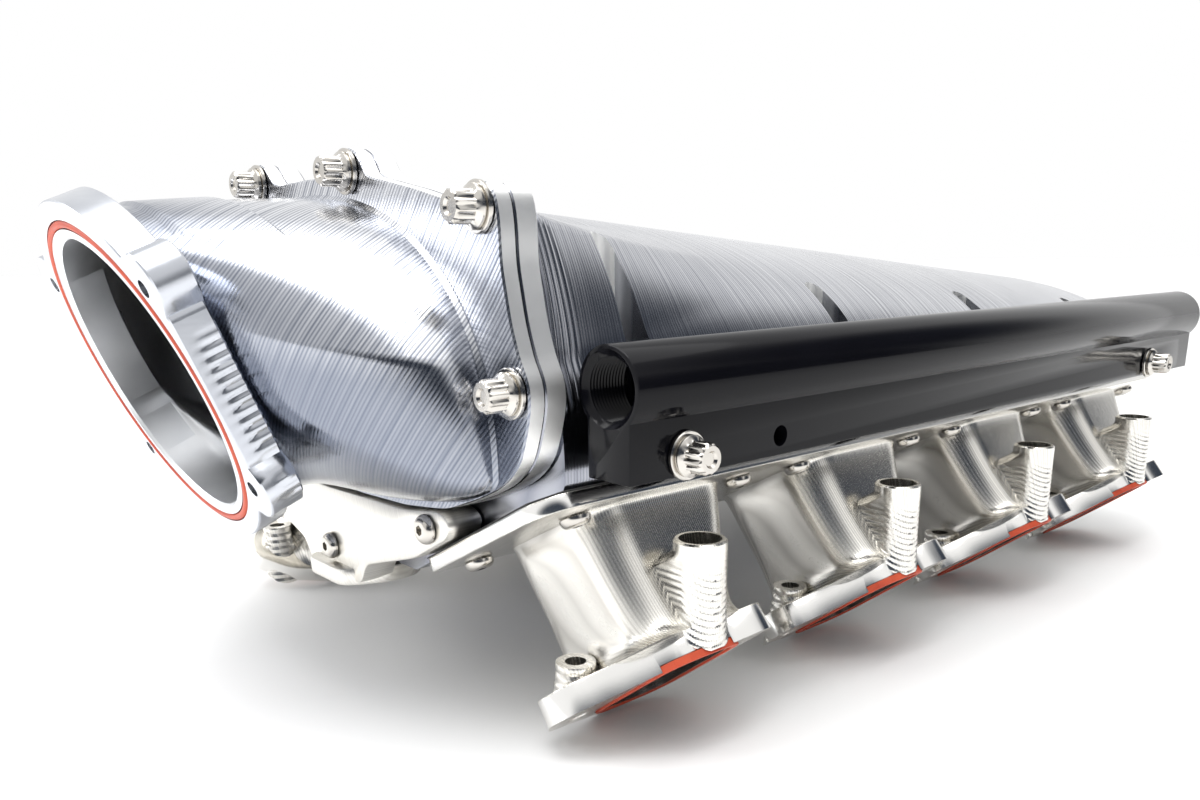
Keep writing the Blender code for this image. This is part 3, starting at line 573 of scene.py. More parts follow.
def copy_to(obj: bpy.types.Object, matrix: Matrix) -> bpy.types.Object:
    """Copy of an object with its own mesh, moved in its mesh.

    Args:
        obj: The original.
        matrix: Where the copy goes; it may mirror.

    Returns:
        The copy.
    """
    mesh = obj.data.copy()
    mesh.transform(matrix)
    if matrix.determinant() < 0.0:
        mesh.flip_normals()
    twin = bpy.data.objects.new(obj.name, mesh)
    bpy.context.collection.objects.link(twin)
    return twin


def cylinder(radius: float, length: float, place: Matrix, sides: int = 48) -> bpy.types.Object:
    """Cylinder that starts at a placing and runs along its local Z.

    Args:
        radius: Radius in metres.
        length: Length in metres.
        place: Placing of its start.
        sides: Number of sides.

    Returns:
        The cylinder.
    """
    deselect()
    bpy.ops.mesh.primitive_cylinder_add(vertices=sides, radius=radius, depth=length,
                                        location=(0.0, 0.0, length / 2.0))
    obj = bpy.context.object
    settle(obj)
    obj.data.transform(place)
    return obj


# ---------------------------------------------------------------- placings and outlines

def axes(origin: Sequence[float], x_axis: Sequence[float], y_axis: Sequence[float]) -> Matrix:
    """Placing with an origin and two axes.

    Args:
        origin: Where it is.
        x_axis: Its first axis.
        y_axis: Its second axis, square to the first.

    Returns:
        The placing.
    """
    x, y = Vector(x_axis).normalized(), Vector(y_axis).normalized()
    z = x.cross(y)
    rows = [(x[i], y[i], z[i], origin[i]) for i in range(3)]
    return Matrix((*rows, (0.0, 0.0, 0.0, 1.0)))


def lift(place: Matrix, x: float = 0.0, y: float = 0.0, z: float = 0.0) -> Matrix:
    """A placing moved along its own axes."""
    return place @ Matrix.Translation((x, y, z))


def forwards(x: float, y: float, z: float) -> Matrix:
    """Placing whose local Z points forwards, along -Y."""
    return axes((x, y, z), (1.0, 0.0, 0.0), (0.0, 0.0, 1.0))


def upright(x: float, y: float, z: float) -> Matrix:
    """Placing whose local Z points up."""
    return Matrix.Translation((x, y, z))


def sideways(x: float, y: float, z: float) -> Matrix:
    """Placing whose local Z points out of the right side."""
    return axes((x, y, z), (0.0, 1.0, 0.0), (0.0, 0.0, 1.0))


def rounded_box(width: float, height: float, corner: float, steps: int = 8) -> list[Point]:
    """Rounded rectangle about the origin.

    Args:
        width: Size along local X.
        height: Size along local Y.
        corner: Corner radius.
        steps: Points on each corner.

    Returns:
        Its points.
    """
    points: list[Point] = []
    for quarter in range(4):
        sx = 1.0 if quarter in (0, 3) else -1.0
        sy = 1.0 if quarter in (0, 1) else -1.0
        for k in range(steps):
            angle = math.pi / 2.0 * (quarter + k / (steps - 1))
            points.append((sx * (width / 2.0 - corner) + corner * math.cos(angle),
                           sy * (height / 2.0 - corner) + corner * math.sin(angle)))
    return points


def rounded(points: Sequence[Point], radius: float, steps: int = 5) -> list[Point]:
    """Closed outline with its corners rounded.

    Args:
        points: Corners.
        radius: How far from each corner the rounding starts.
        steps: Points on each rounding.

    Returns:
        The rounded outline.
    """
    out: list[Point] = []
    count = len(points)
    for i in range(count):
        before, here, after = Vector(points[i - 1]), Vector(points[i]), Vector(points[(i + 1) % count])
        reach_in = min(radius, (before - here).length * 0.45)
        reach_out = min(radius, (after - here).length * 0.45)
        start = here + (before - here).normalized() * reach_in
        end = here + (after - here).normalized() * reach_out
        for k in range(steps):
            t = k / (steps - 1)
            p = start * (1 - t) ** 2 + here * 2 * t * (1 - t) + end * t ** 2
            out.append((p.x, p.y))
    return out


def slab(name: str, outline: Sequence[Point], place: Matrix, depth: float, edge: float) -> bpy.types.Object:
    """Plate of an outline along local Z, with broken edges.

    Args:
        name: The object's name.
        outline: Points in local X and Y.
        place: Placing of its first face.
        depth: Thickness.
        edge: Width of the broken edges.

    Returns:
        The plate.
    """
    low = [place @ Vector((x, y, 0.0)) for x, y in outline]
    high = [place @ Vector((x, y, depth)) for x, y in outline]
    obj = skin(name, [low, high])
    return soften(obj, edge, 2, 60.0) if edge else obj


def ease(t: float) -> float:
    """Smooth step from 0 to 1."""
    return t * t * (3.0 - 2.0 * t)


def dome(angle: float, half_width: float, height: float, drop: float) -> float:
    """Distance from the sill centre to a domed section.

    Args:
        angle: Direction in the section.
        half_width: Half width at the sill.
        height: Height above the sill.
        drop: Depth below it.

    Returns:
        The distance.
    """
    side = abs(math.cos(angle)) / half_width
    rise = abs(math.sin(angle)) / (height if math.sin(angle) >= 0.0 else drop)
    return (side ** SQUARENESS + rise ** SQUARENESS) ** (-1.0 / SQUARENESS)


@dataclass
class JointOutline:
    """Outline that the snout and plenum flanges share, with a lobe at each bolt."""

    half: tuple[Point, ...] = (
        (0.0, 187.5), (24.0, 187.3), (29.0, 193.6), (36.0, 196.0), (43.0, 193.2), (48.0, 186.0),
        (76.0, 180.5), (102.0, 174.5), (106.5, 180.2), (113.0, 181.9), (119.0, 177.5), (120.4, 169.0),
        (120.6, 158.0), (124.0, 142.0), (127.5, 132.0), (131.3, 126.0), (131.8, 119.0), (129.5, 111.0),
        (126.0, 102.0), (118.0, 94.5), (106.0, 89.0), (86.0, 81.6), (60.0, 78.4), (30.0, 77.2), (0.0, 77.0))
    bolts: tuple[Point, ...] = ((36.0, 188.0), (111.7, 173.6), (123.5, 122.5))

    def reach(self, angle: float) -> float:
        """Distance from the sill centre to the outline.

        Args:
            angle: Direction in the section.

        Returns:
            The distance, in metres.
        """
        points = [(x * MM, z * MM - SILL_Z) for x, z in self.half]
        dx, dz = abs(math.cos(angle)), math.sin(angle)
        best = 0.0
        for (ax, az), (bx, bz) in zip(points, points[1:]):
            across = dx * (bz - az) - dz * (bx - ax)
            if abs(across) < 1e-12:
                continue
            share = (dz * ax - dx * az) / across
            if -1e-6 <= share <= 1.0 + 1e-6:
                best = max(best, (ax * (bz - az) - az * (bx - ax)) / across)
        return best

    def reaches(self, angles: Sequence[float]) -> list[float]:
        """Distances at many angles, with the corners eased.

        Args:
            angles: Even directions all round.

        Returns:
            The distances.
        """
        raw = [self.reach(a) for a in angles]
        count = len(raw)
        passes = max(1, count // 160)
        for _ in range(passes):
            raw = [(raw[i - 1] + 2.0 * raw[i] + raw[(i + 1) % count]) / 4.0 for i in range(count)]
        return raw


JOINT = JointOutline()


def even_angles(count: int) -> list[float]:
    """Even directions all round."""
    return [TURN * k / count for k in range(count)]


def station(y: float, angles: Sequence[float], reaches: Sequence[float]) -> Ring:
    """Ring at a station along Y.

    Args:
        y: The station.
        angles: Directions from the sill centre.
        reaches: Distance in each direction.

    Returns:
        The ring.
    """
    return [Vector((r * math.cos(a), y, SILL_Z + r * math.sin(a))) for a, r in zip(angles, reaches)]


# ---------------------------------------------------------------- snout

@dataclass
class Snout:
    """Front duct with its tilted throttle flange, joint flange and seal."""

    finishes: Finishes
    centre_y: float = -243.2 * MM
    centre_z: float = 121.6 * MM
    tilt: float = TILT
    bore: float = 49.0 * MM
    seal: float = 54.0 * MM
    neck: float = 54.8 * MM
    thickness: float = 12.0 * MM
    bolt_x: float = 49.8 * MM
    bolt_up: float = 33.6 * MM
    rays: int = 480

    def face(self, out: float = 0.0) -> Matrix:
        """Placing on the throttle flange face: Y up it, Z out of it."""
        up = Vector((0.0, -math.sin(self.tilt), math.cos(self.tilt)))
        normal = Vector((0.0, -math.cos(self.tilt), -math.sin(self.tilt)))
        return axes(Vector((0.0, self.centre_y, self.centre_z)) + normal * out, (1.0, 0.0, 0.0), up)

    def flange_reach(self, angle: float) -> float:
        """Outline of the throttle flange: round crown, flat sides and four ears."""
        reach = 61.8 * MM
        if abs(math.cos(angle)) > 1e-6:
            reach = min(reach, 57.0 * MM / abs(math.cos(angle)))
        for sx in (1.0, -1.0):
            for sy in (1.0, -1.0):
                cx, cy, r = sx * self.bolt_x, sy * self.bolt_up, 10.5 * MM
                along = cx * math.cos(angle) + cy * math.sin(angle)
                rest = r * r - cx * cx - cy * cy + along * along
                if rest > 0.0 and along > 0.0:
                    reach = max(reach, along + math.sqrt(rest))
        return reach

    def ring(self, out: float, reaches: Sequence[float]) -> Ring:
        """Ring on a plane parallel to the throttle face."""
        place = self.face(out)
        angles = even_angles(self.rays)
        return [place @ Vector((r * math.cos(a), r * math.sin(a), 0.0)) for a, r in zip(angles, reaches)]

    def ridged(self, reaches: Sequence[float], share: float) -> list[float]:
        """Flange outline with the cutter's stacked ridges down its sides.

        Args:
            reaches: The plain outline.
            share: How deep the ridges are, from 0 to 1.

        Returns:
            The ridged outline.
        """
        pitch, deep = 3.4 * MM, 0.6 * MM
        out = []
        for a, r in zip(even_angles(self.rays), reaches):
            up = r * math.sin(a)
            side = ease(min(1.0, max(0.0, (abs(math.cos(a)) - 0.45) / 0.25)))
            high = ease(min(1.0, max(0.0, (20.0 * MM - up) / (10.0 * MM))))
            wave = 1.0 - abs(math.sin(math.pi * up / pitch))
            out.append(r - deep * wave * side * high * share)
        return out

    def build(self) -> None:
        """Model the snout and its seal."""
        angles = even_angles(self.rays)
        flat = [self.flange_reach(a) for a in angles]

        def round_at(radius: float) -> list[float]:
            return [radius] * self.rays

        half, deep = SEAL_GROOVE
        turned = ((-1.2 * MM, self.bore), (0.0, self.bore + 0.9 * MM), (0.0, self.seal - half),
                  (-deep, self.seal - half), (-deep, self.seal + half), (0.0, self.seal + half))
        rings = [self.ring(out, round_at(radius)) for out, radius in turned]
        rings.append(self.ring(0.0, [r - 0.5 * MM for r in flat]))
        for out, share in ((-0.5, 0.0), (-3.4, 0.0), (-4.6, 0.35), (-6.0, 0.8), (-8.0, 1.0), (-11.3, 1.0)):
            rings.append(self.ring(out * MM, self.ridged(flat, share)))
        rings.append(self.ring(-self.thickness, [r - 0.7 * MM for r in self.ridged(flat, 1.0)]))
        rings.append(self.ring(-self.thickness, round_at(self.neck + 0.8 * MM)))
        shoulder = station(JOINT_FRONT_Y, angles, [dome(a, *SHOULDER) for a in angles])
        outer = self.swell(self.ring(-self.thickness - 0.6 * MM, round_at(self.neck)), shoulder, 40, 0.95)
        rings += [self.creased(ring, k / 40.0) for k, ring in enumerate(outer)]
        joint = JOINT.reaches(angles)
        fillet = [min(dome(a, *SHOULDER_FILLET), j - 1.0 * MM) for a, j in zip(angles, joint)]
        rings.append(station(JOINT_FRONT_Y, angles, fillet))
        back_y = PLENUM_FRONT_Y - 0.3 * MM
        rings.append(station(JOINT_FRONT_Y, angles, [r - 0.6 * MM for r in joint]))
        rings.append(station(JOINT_FRONT_Y + 0.6 * MM, angles, joint))
        rings.append(station(back_y - 0.4 * MM, angles, joint))
        rings.append(station(back_y, angles, [r - 0.4 * MM for r in joint]))
        mouth = station(back_y, angles, [dome(a, *MOUTH) for a in angles])
        rings.append(mouth)
        inner = self.swell(self.ring(-self.thickness - 2.0 * MM, round_at(self.bore)), mouth, 20, 0.8)
        rings += list(reversed(inner))
        body = skin("snout_body", rings, tunnel=True)
        holes = []
        for sx in (1.0, -1.0):
            for sy in (1.0, -1.0):
                place = lift(self.face(), sx * self.bolt_x, sy * self.bolt_up, -self.thickness - 3.0 * MM)
                holes.append(cylinder(2.7 * MM, self.thickness + 5.0 * MM, place, 32))
            for x, z in JOINT.bolts:
                place = forwards(sx * x * MM, JOINT_FRONT_Y + 9.0 * MM, z * MM)
                holes.append(cylinder(SCREW_HOLE, 12.0 * MM, place, 32))
        carve(body, holes, "DIFFERENCE")
        dress(body, "snout_body", self.finishes.snout, ["snout"])
        self.finish_inside(body)
        self.build_seal()

    def finish_inside(self, body: bpy.types.Object) -> None:
        """Give the air way, the throttle flange and the joint flange's edge their own finishes.

        Args:
            body: The snout.
        """
        for finish in (self.finishes.bore, self.finishes.turned, self.finishes.pale):
            body.data.materials.append(finish)
        face_place = self.face()
        for face in body.data.polygons:
            behind = (face.center - face_place.translation).dot(face_place.col[2].xyz)
            if behind > -12.0 * MM:
                face.material_index = 2
            elif face.center.y > JOINT_FRONT_Y + 0.2 * MM and abs(face.normal.y) < 0.3:
                face.material_index = 3
        for face in body.data.polygons:
            out = Vector((face.center.x, 0.0, face.center.z - 122.0 * MM))
            inwards = out.length > 0.0 and face.normal.dot(out.normalized()) < -0.3
            if inwards:
                face.material_index = 1

    def creased(self, ring: Ring, t: float) -> Ring:
        """Duct ring with the long crease down each side.

        Args:
            ring: The plain ring.
            t: Share of the way from the neck to the joint.

        Returns:
            The creased ring.
        """
        out = []
        full = math.sin(math.pi * min(1.0, t * 1.02)) ** 0.8 if t > 0.0 else 0.0
        for a, p in zip(even_angles(self.rays), ring):
            off = abs(math.degrees(math.asin(math.sin(a))) - 17.0)
            crest = 6.0 * MM * math.exp(-off / 13.0)
            push = crest * full * (1.0 if math.cos(a) > 0.0 else -1.0) * min(1.0, abs(math.cos(a)) * 3.0)
            on_pad = math.sin(a) > 0.82 - 0.25 * t and 0.12 < t < 0.46
            out.append(Vector((p.x + push, p.y, p.z + (1.2 * MM if on_pad else 0.0))))
        return out

    def swell(self, first: Ring, last: Ring, steps: int, power: float) -> list[Ring]:
        """Rings that swell from one ring to another.

        Args:
            first: Where they start; it is the first ring returned.
            last: Where they would end; it is left out.
            steps: How many rings.
            power: How late the swell comes.

        Returns:
            The rings.
        """
        rings = []
        for k in range(steps):
            t = k / steps
            s = math.sin(math.pi / 2.0 * t) ** power if t > 0.0 else 0.0
            rings.append([Vector((a.x + (b.x - a.x) * s, a.y + (b.y - a.y) * t, a.z + (b.z - a.z) * s))
                          for a, b in zip(first, last)])
        return rings

    def build_seal(self) -> None:
        """Model the seal ring as a round cord in its groove."""
        deselect()
        bpy.ops.mesh.primitive_torus_add(major_radius=self.seal, minor_radius=1.25 * MM, major_segments=160,
                                         minor_segments=16)
        ring = bpy.context.object
        settle(ring)
        ring.data.transform(self.face(-0.75 * MM))
        dress(ring, "throttle_seal_ring", self.finishes.silicone, ["throttle_seal"])


# ---------------------------------------------------------------- plenum

@dataclass
class Plenum:
    """Domed plenum with its joint flange, side pockets and V floor."""

    finishes: Finishes
    half_width: float = 129.0 * MM
    rear_y: float = 266.0 * MM
    flange_back_y: float = -168.0 * MM
    wall: float = 8.0 * MM
    keel_z: float = 47.0 * MM
    rays: int = 360

    def top(self, y: float) -> float:
        """Height of the dome above the sill at a station."""
        return 88.0 * MM - 0.093 * (y - PLENUM_FRONT_Y)

    def reach(self, angle: float, half_width: float, height: float, inset: float) -> float:
        """Distance from the sill centre to the section: dome above, V floor below."""
        if math.sin(angle) >= 0.0:
            return dome(angle, half_width, height, height)
        down, side = -math.sin(angle), abs(math.cos(angle))
        slope = math.tan(SEAT_ANGLE)
        depth = SILL_Z - SEAT_Z + SEAT_X * slope - inset / math.cos(SEAT_ANGLE)
        return min(half_width / max(side, 1e-6), (SILL_Z - self.keel_z - inset) / down,
                   depth / (down + side * slope))

    def fairing(self, angle: float, y: float) -> float:
        """Extra reach of the long fairings that run back from the shoulder bolts.

        Args:
            angle: Direction in the section.
            y: Station.

        Returns:
            Extra distance, in metres.
        """
        back = (y - self.flange_back_y) / (120.0 * MM)
        if back >= 1.0:
            return 0.0
        bolt = math.atan2(173.6 * MM - SILL_Z, 111.7 * MM)
        upper = math.asin(abs(math.sin(angle))) if math.sin(angle) >= 0.0 else -1.0
        width = math.radians(20.0) * (1.0 - 0.55 * back)
        hump = max(0.0, 1.0 - abs(upper - bolt) / width) ** 1.15
        return 20.0 * MM * hump * (1.0 - back) ** 1.6

    def section(self, y: float, shrink: float = 0.0, ridge: float = 0.0) -> Ring:
        """Outer ring at a station.

        Args:
            y: Station.
            shrink: How far the rear rounding draws the top in.
            ridge: How far a cutter ridge stands proud.

        Returns:
            The ring.
        """
        angles = even_angles(self.rays)
        width = self.half_width - shrink * 0.12
        height = self.top(y) - shrink
        reaches = []
        for a in angles:
            base = self.reach(a, width, height, 0.0)
            extra = (self.fairing(a, y) + ridge) if math.sin(a) > 0.15 else 0.0
            reaches.append(base + extra)
        return station(y, angles, reaches)

    def build(self) -> None:
        """Model the plenum."""
        angles = even_angles(self.rays)
        joint = JOINT.reaches(angles)
        rings = [station(PLENUM_FRONT_Y, angles, [r - 0.5 * MM for r in joint]),
                 station(PLENUM_FRONT_Y + 0.5 * MM, angles, joint),
                 station(self.flange_back_y - 0.8 * MM, angles, joint),
                 station(self.flange_back_y, angles, [r - 0.8 * MM for r in joint])]
        for k in range(36):
            y = self.flange_back_y + (0.2 + 0.4 * k) * MM
            wave = abs(math.sin(math.pi * k / 6.0))
            rings.append(self.section(y, 0.0, (0.9 - 0.7 * wave) * MM * (1.0 - k / 40.0)))
        start = self.flange_back_y + 15.0 * MM
        end = self.rear_y - REAR_ROUND
        rings += [self.section(start + (end - start) * k / 40.0) for k in range(41)]
        for k in range(1, 17):
            turn = math.pi / 2.0 * k / 16.0
            rings.append(self.section(end + REAR_ROUND * math.sin(turn), REAR_ROUND * (1.0 - math.cos(turn))))
        body = skin("plenum_body", rings)
        tools = [self.hollow()]
        for side in Side:
            tools += self.side_cuts(side)
        carve(body, tools, "DIFFERENCE")
        dress(body, "plenum_body", self.finishes.plenum, ["plenum"])
        self.brighten(body)

    def brighten(self, body: bpy.types.Object) -> None:
        """Give the joint flange's edge, the pocket walls and the rear end their own cuts.

        Args:
            body: The plenum.
        """
        body.data.materials.append(self.finishes.pale)
        body.data.materials.append(self.finishes.end)
        for face in body.data.polygons:
            x, y, z = face.center
            if face.normal.y > 0.9 and y > 0.0:
                face.material_index = 2
                continue
            edge = y < self.flange_back_y - 0.2 * MM and abs(face.normal.y) < 0.3 and z > self.keel_z
            in_pocket = any(abs(y - port_y + 4.3 * MM) < 4.6 * MM for port_y in PORT_YS)
            wall = 99.0 * MM < abs(x) < 120.0 * MM and z > 101.0 * MM and abs(face.normal.z) < 0.05
            if edge or (in_pocket and wall):
                face.material_index = 1

    def hollow(self) -> bpy.types.Object:
        """The air space inside."""
        angles = even_angles(96)

        def ring(y: float, reach: Callable[[float], float]) -> Ring:
            return station(y, angles, [reach(a) for a in angles])

        mouth = [ring(y, lambda a: dome(a, *MOUTH))
                 for y in (PLENUM_FRONT_Y - 3.0 * MM, self.flange_back_y + 4.0 * MM)]
        inside = [ring(y, lambda a, y=y: self.reach(a, 95.0 * MM, self.top(y) - self.wall, self.wall))
                  for y in (self.flange_back_y + 30.0 * MM, 40.0 * MM, 210.0 * MM)]
        tail = [ring(self.rear_y - 12.6 * MM, lambda a: self.reach(a, 90.0 * MM, 31.0 * MM, self.wall))]
        return skin("hollow", mouth + inside + tail)

    def pocket(self, port_y: float, top: float) -> bpy.types.Object:
        """Upright end-mill cut in the plenum's side, round at the back and open outwards.

        Args:
            port_y: The port's station.
            top: Height where the cut runs out of the dome.

        Returns:
            The cutter.
        """
        radius, back = 4.4 * MM, 100.1 * MM
        outline = [(back + radius - radius * math.sin(math.pi * k / 16.0),
                    port_y - 4.3 * MM - radius * math.cos(math.pi * k / 16.0)) for k in range(17)]
        outline += [(back + 45.0 * MM, port_y - 4.3 * MM + radius * 1.5),
                    (back + 45.0 * MM, port_y - 4.3 * MM - radius * 1.5)]
        return slab("pocket", outline, upright(0.0, 0.0, 101.0 * MM), top + 12.0 * MM - 101.0 * MM, 0.0)

    def side_cuts(self, side: Side) -> list[bpy.types.Object]:
        """Pocket beside each injector, and the slot over each runner."""
        tools = []
        tops = (157.1, 146.6, 140.8, 134.2)
        for port_y, top in zip(PORT_YS, tops):
            seat = seat_place(92.0 * MM, port_y + RUNNER_SHIFT)
            tools.append(slab("slot", rounded_box(52.0 * MM, 44.0 * MM, 14.0 * MM), lift(seat, z=-5.0 * MM),
                              24.0 * MM, 0.0))
            tools.append(self.pocket(port_y, top * MM))
        if side is Side.LEFT:
            for tool in tools:
                tool.data.transform(MIRROR)
                tool.data.flip_normals()
        return tools


def seat_place(x: float, y: float, up: float = 0.0) -> Matrix:
    """Placing on the right bank's seat: X rearwards, Y down the slope, Z up to the plenum."""
    down = Vector((-math.cos(SEAT_ANGLE), 0.0, -math.sin(SEAT_ANGLE)))
    normal = Vector((-math.sin(SEAT_ANGLE), 0.0, math.cos(SEAT_ANGLE)))
    z = SEAT_Z - (SEAT_X - x) * math.tan(SEAT_ANGLE)
    return axes(Vector((x, y, z)) + normal * up, (0.0, 1.0, 0.0), down)


def head_place(y: float, down: float = 0.0, up: float = 0.0) -> Matrix:
    """Placing on the right head face: X rearwards, Y down the slope, Z into the part."""
    slope = Vector((-math.cos(HEAD_ANGLE), 0.0, -math.sin(HEAD_ANGLE)))
    normal = Vector((-math.sin(HEAD_ANGLE), 0.0, math.cos(HEAD_ANGLE)))
    origin = Vector((HEAD_EDGE_X, y, HEAD_EDGE_Z)) + slope * down + normal * up
    return axes(origin, (0.0, 1.0, 0.0), slope)


# ---------------------------------------------------------------- runner banks

@dataclass
class RunnerBank:
    """One bank: seat flange, runners, port flanges, injector and head bolt bosses."""

    finishes: Finishes
    injector_x: float = 144.0 * MM
    rim_z: float = 72.8 * MM
    top_x: float = 92.0 * MM
    thickness: float = 5.2 * MM
    gasket: float = 0.8 * MM
    port: tuple[float, float, float] = (28.0 * MM, 48.0 * MM, 9.0 * MM)

    def screw_places(self) -> list[Point]:
        """(x, y) of each screw with a CAD node."""
        places = []
        for port_y in PORT_YS:
            for reach in (-38.6 * MM, 38.6 * MM):
                places.append((115.1 * MM, port_y + RUNNER_SHIFT + reach))
        return places + [(69.5 * MM, -162.0 * MM), (69.5 * MM, 257.0 * MM)]

    def seat(self) -> bpy.types.Object:
        """The flange that meets the plenum."""
        cos = math.cos(SEAT_ANGLE)
        low, high = (self.top_x - 62.0 * MM) / cos, (self.top_x - 130.0 * MM) / cos
        front, rear, cut = -178.0 * MM, 264.0 * MM, 8.0 * MM
        outline = [(front, low), (front, high + cut), (front + cut, high), (rear - cut, high),
                   (rear, high + cut), (rear, low)]
        place = seat_place(self.top_x, 0.0, -self.gasket - self.thickness)
        return slab("bank", rounded(outline, 5.0 * MM), place, self.thickness, 0.5 * MM)

    def lobe(self, port_y: float) -> bpy.types.Object:
        """One port flange."""
        points = [(-9.0, 5.0), (-16.0, 9.0), (-23.0, 17.0), (-31.0, 26.0), (-42.0, 34.0), (-45.0, 46.0),
                  (-32.0, 58.0), (-10.0, 65.8), (6.0, 65.8), (20.0, 60.0), (27.5, 46.0), (25.0, 0.0),
                  (14.0, 2.5), (9.0, 5.0)]
        outline = rounded([(x * MM, y * MM) for x, y in points], 5.0 * MM)
        return slab("lobe", outline, head_place(port_y, up=-1.5 * MM), 11.0 * MM, 0.6 * MM)

    def loft(self, port_y: float, sizes: Sequence[tuple[float, float, float, float]], reach: float
             ) -> list[Ring]:
        """Rings of a runner from the head face to the seat.

        Args:
            port_y: The port's station.
            sizes: (share of the way, width, height, corner) in mm.
            reach: How far the last ring is above the seat's underside.

        Returns:
            The rings.
        """
        foot = head_place(port_y - 1.0 * MM, PORT_DOWN, 9.0 * MM)
        top = seat_place(self.top_x, port_y + RUNNER_SHIFT, -self.gasket - self.thickness + reach)
        rings = []
        for t, width, height, corner in sizes:
            s = ease(t) * 0.35 + t * 0.65
            origin = foot.translation.lerp(top.translation, s)
            down = foot.col[1].xyz.lerp(top.col[1].xyz, s)
            place = axes(origin, (0.0, 1.0, 0.0), down)
            rings.append([place @ Vector((x, y, 0.0)) for x, y in
                          rounded_box(width * MM, height * MM, corner * MM, 12)])
        return rings

    def runner(self, port_y: float) -> bpy.types.Object:
        """One runner, flared into both flanges."""
        sizes = []
        steps = 24
        for k in range(steps + 1):
            t = k / steps
            width = 46.0 + (68.0 - 46.0) * ease(t)
            height = 58.0 - 4.0 * math.sin(math.pi * t)
            near_foot = max(0.0, 1.0 - t / 0.16)
            near_top = max(0.0, 1.0 - (1.0 - t) / 0.12)
            flare = 6.0 * near_foot ** 2 + 3.0 * near_top ** 2
            sizes.append((t, width + flare, height + flare * 0.6, 13.0 + 3.0 * t + flare * 0.3))
        return skin("runner", self.loft(port_y, sizes, 1.0 * MM))

    def boss(self, port_y: float) -> bpy.types.Object:
        """Injector boss with the cutter's stacked ridges."""
        foot_z = 24.0 * MM
        rings = []
        steps = 96
        for k in range(steps + 1):
            z = foot_z + (self.rim_z - 0.6 * MM - foot_z) * k / steps
            below = ease(min(1.0, max(0.0, (self.rim_z - 4.0 * MM - z) / (8.0 * MM))))
            web = 20.0 * MM * ease(min(1.0, max(0.0, (self.rim_z - 3.0 * MM - z) / (14.0 * MM))))
            rings.append(self.boss_ring(port_y, z, 8.75 * MM, web, below))
        rings.append(self.boss_ring(port_y, self.rim_z, 8.2 * MM, 0.0, 0.0))
        return skin("boss", rings)

    def boss_ring(self, port_y: float, z: float, radius: float, web: float, below: float) -> Ring:
        """Ring of the boss: round outside, drawn back towards the runner by its web.

        Args:
            port_y: The port's station.
            z: Height of the ring.
            radius: Radius outside.
            web: How far the inner half is drawn back.
            below: How far down from the rim it is, from 0 to 1, for the ridges and the flare.

        Returns:
            The ring.
        """
        ring = []
        flare = 3.0 * MM * max(0.0, 1.0 - (z - 36.0 * MM) / (16.0 * MM)) ** 2 if z < 52.0 * MM else 0.0
        for a in even_angles(64):
            back = web if math.cos(a) < -1e-9 else 0.0
            rise = z + 5.0 * MM * math.cos(a)
            ridge = 0.3 * MM * (1.0 - abs(math.sin(math.pi * rise / (2.2 * MM)))) * below
            size = radius - ridge
            ring.append(Vector((self.injector_x + size * math.cos(a) - back,
                                port_y + (size + flare) * math.sin(a), z)))
        return ring

    def bolt_boss(self, port_y: float) -> bpy.types.Object:
        """Head bolt boss in front of a port."""
        foot_z = 3.0 * MM
        rings = []
        steps = 40
        for k in range(steps + 1):
            z = foot_z + (31.4 * MM - foot_z) * k / steps
            wave = abs(math.sin(math.pi * (z - foot_z) / (3.2 * MM)))
            flare = 2.2 * MM * max(0.0, 1.0 - (z - 12.0 * MM) / (16.0 * MM))
            radius = 6.9 * MM + flare - 0.4 * MM * (1.0 - wave)
            middle = Vector((BOLT_BOSS_X, port_y - BOLT_BOSS_AHEAD, z))
            rings.append([middle + Vector((math.cos(a), math.sin(a), 0.0)) * radius for a in even_angles(48)])
        return skin("bolt_boss", rings)

    def cuts(self) -> list[bpy.types.Object]:
        """Everything that is bored or milled out of the bank."""
        tools = []
        width, height, corner = self.port
        for port_y in PORT_YS:
            foot = head_place(port_y - 1.0 * MM, PORT_DOWN, -2.0 * MM)
            knee = head_place(port_y - 1.0 * MM, PORT_DOWN, 10.0 * MM)
            top = seat_place(self.top_x, port_y + RUNNER_SHIFT, 2.0 * MM)
            rings = []
            for place, box in ((foot, (width, height, corner)), (knee, (width, height, corner)),
                               (top, (52.0 * MM, 46.0 * MM, 14.0 * MM))):
                rings.append([place @ Vector((x, y, 0.0)) for x, y in rounded_box(*box, 10)])
            tools.append(skin("tract", rings))
            bore = upright(self.injector_x, port_y, self.rim_z - 24.0 * MM)
            bolt = upright(BOLT_BOSS_X, port_y - BOLT_BOSS_AHEAD, -6.0 * MM)
            tools += [cylinder(7.0 * MM, 26.0 * MM, bore), cylinder(3.6 * MM, 46.0 * MM, bolt, 32)]
            groove = [rounded_box(width + extra * MM, height + extra * MM, corner + extra * MM / 2.0, 10)
                      for extra in (10.0, 3.4)]
            base, deep = head_place(port_y - 1.0 * MM, PORT_DOWN, -2.0 * MM), 4.3 * MM
            loops = [(groove[0], 0.0), (groove[0], deep), (groove[1], deep), (groove[1], 0.0)]
            tools.append(skin("groove", [[base @ Vector((x, y, h)) for x, y in loop] for loop, h in loops],
                              tunnel=True))
        for x, y in self.screw_places():
            tools.append(cylinder(SCREW_HOLE, 11.0 * MM, seat_place(x, y, -9.0 * MM), 24))
        plane = [(-300.0 * MM, -20.0 * MM), (-300.0 * MM, 90.0 * MM), (350.0 * MM, 90.0 * MM),
                 (350.0 * MM, -20.0 * MM)]
        return [slab("head", plane, head_place(0.0, up=-30.0 * MM), 30.0 * MM, 0.0)] + tools

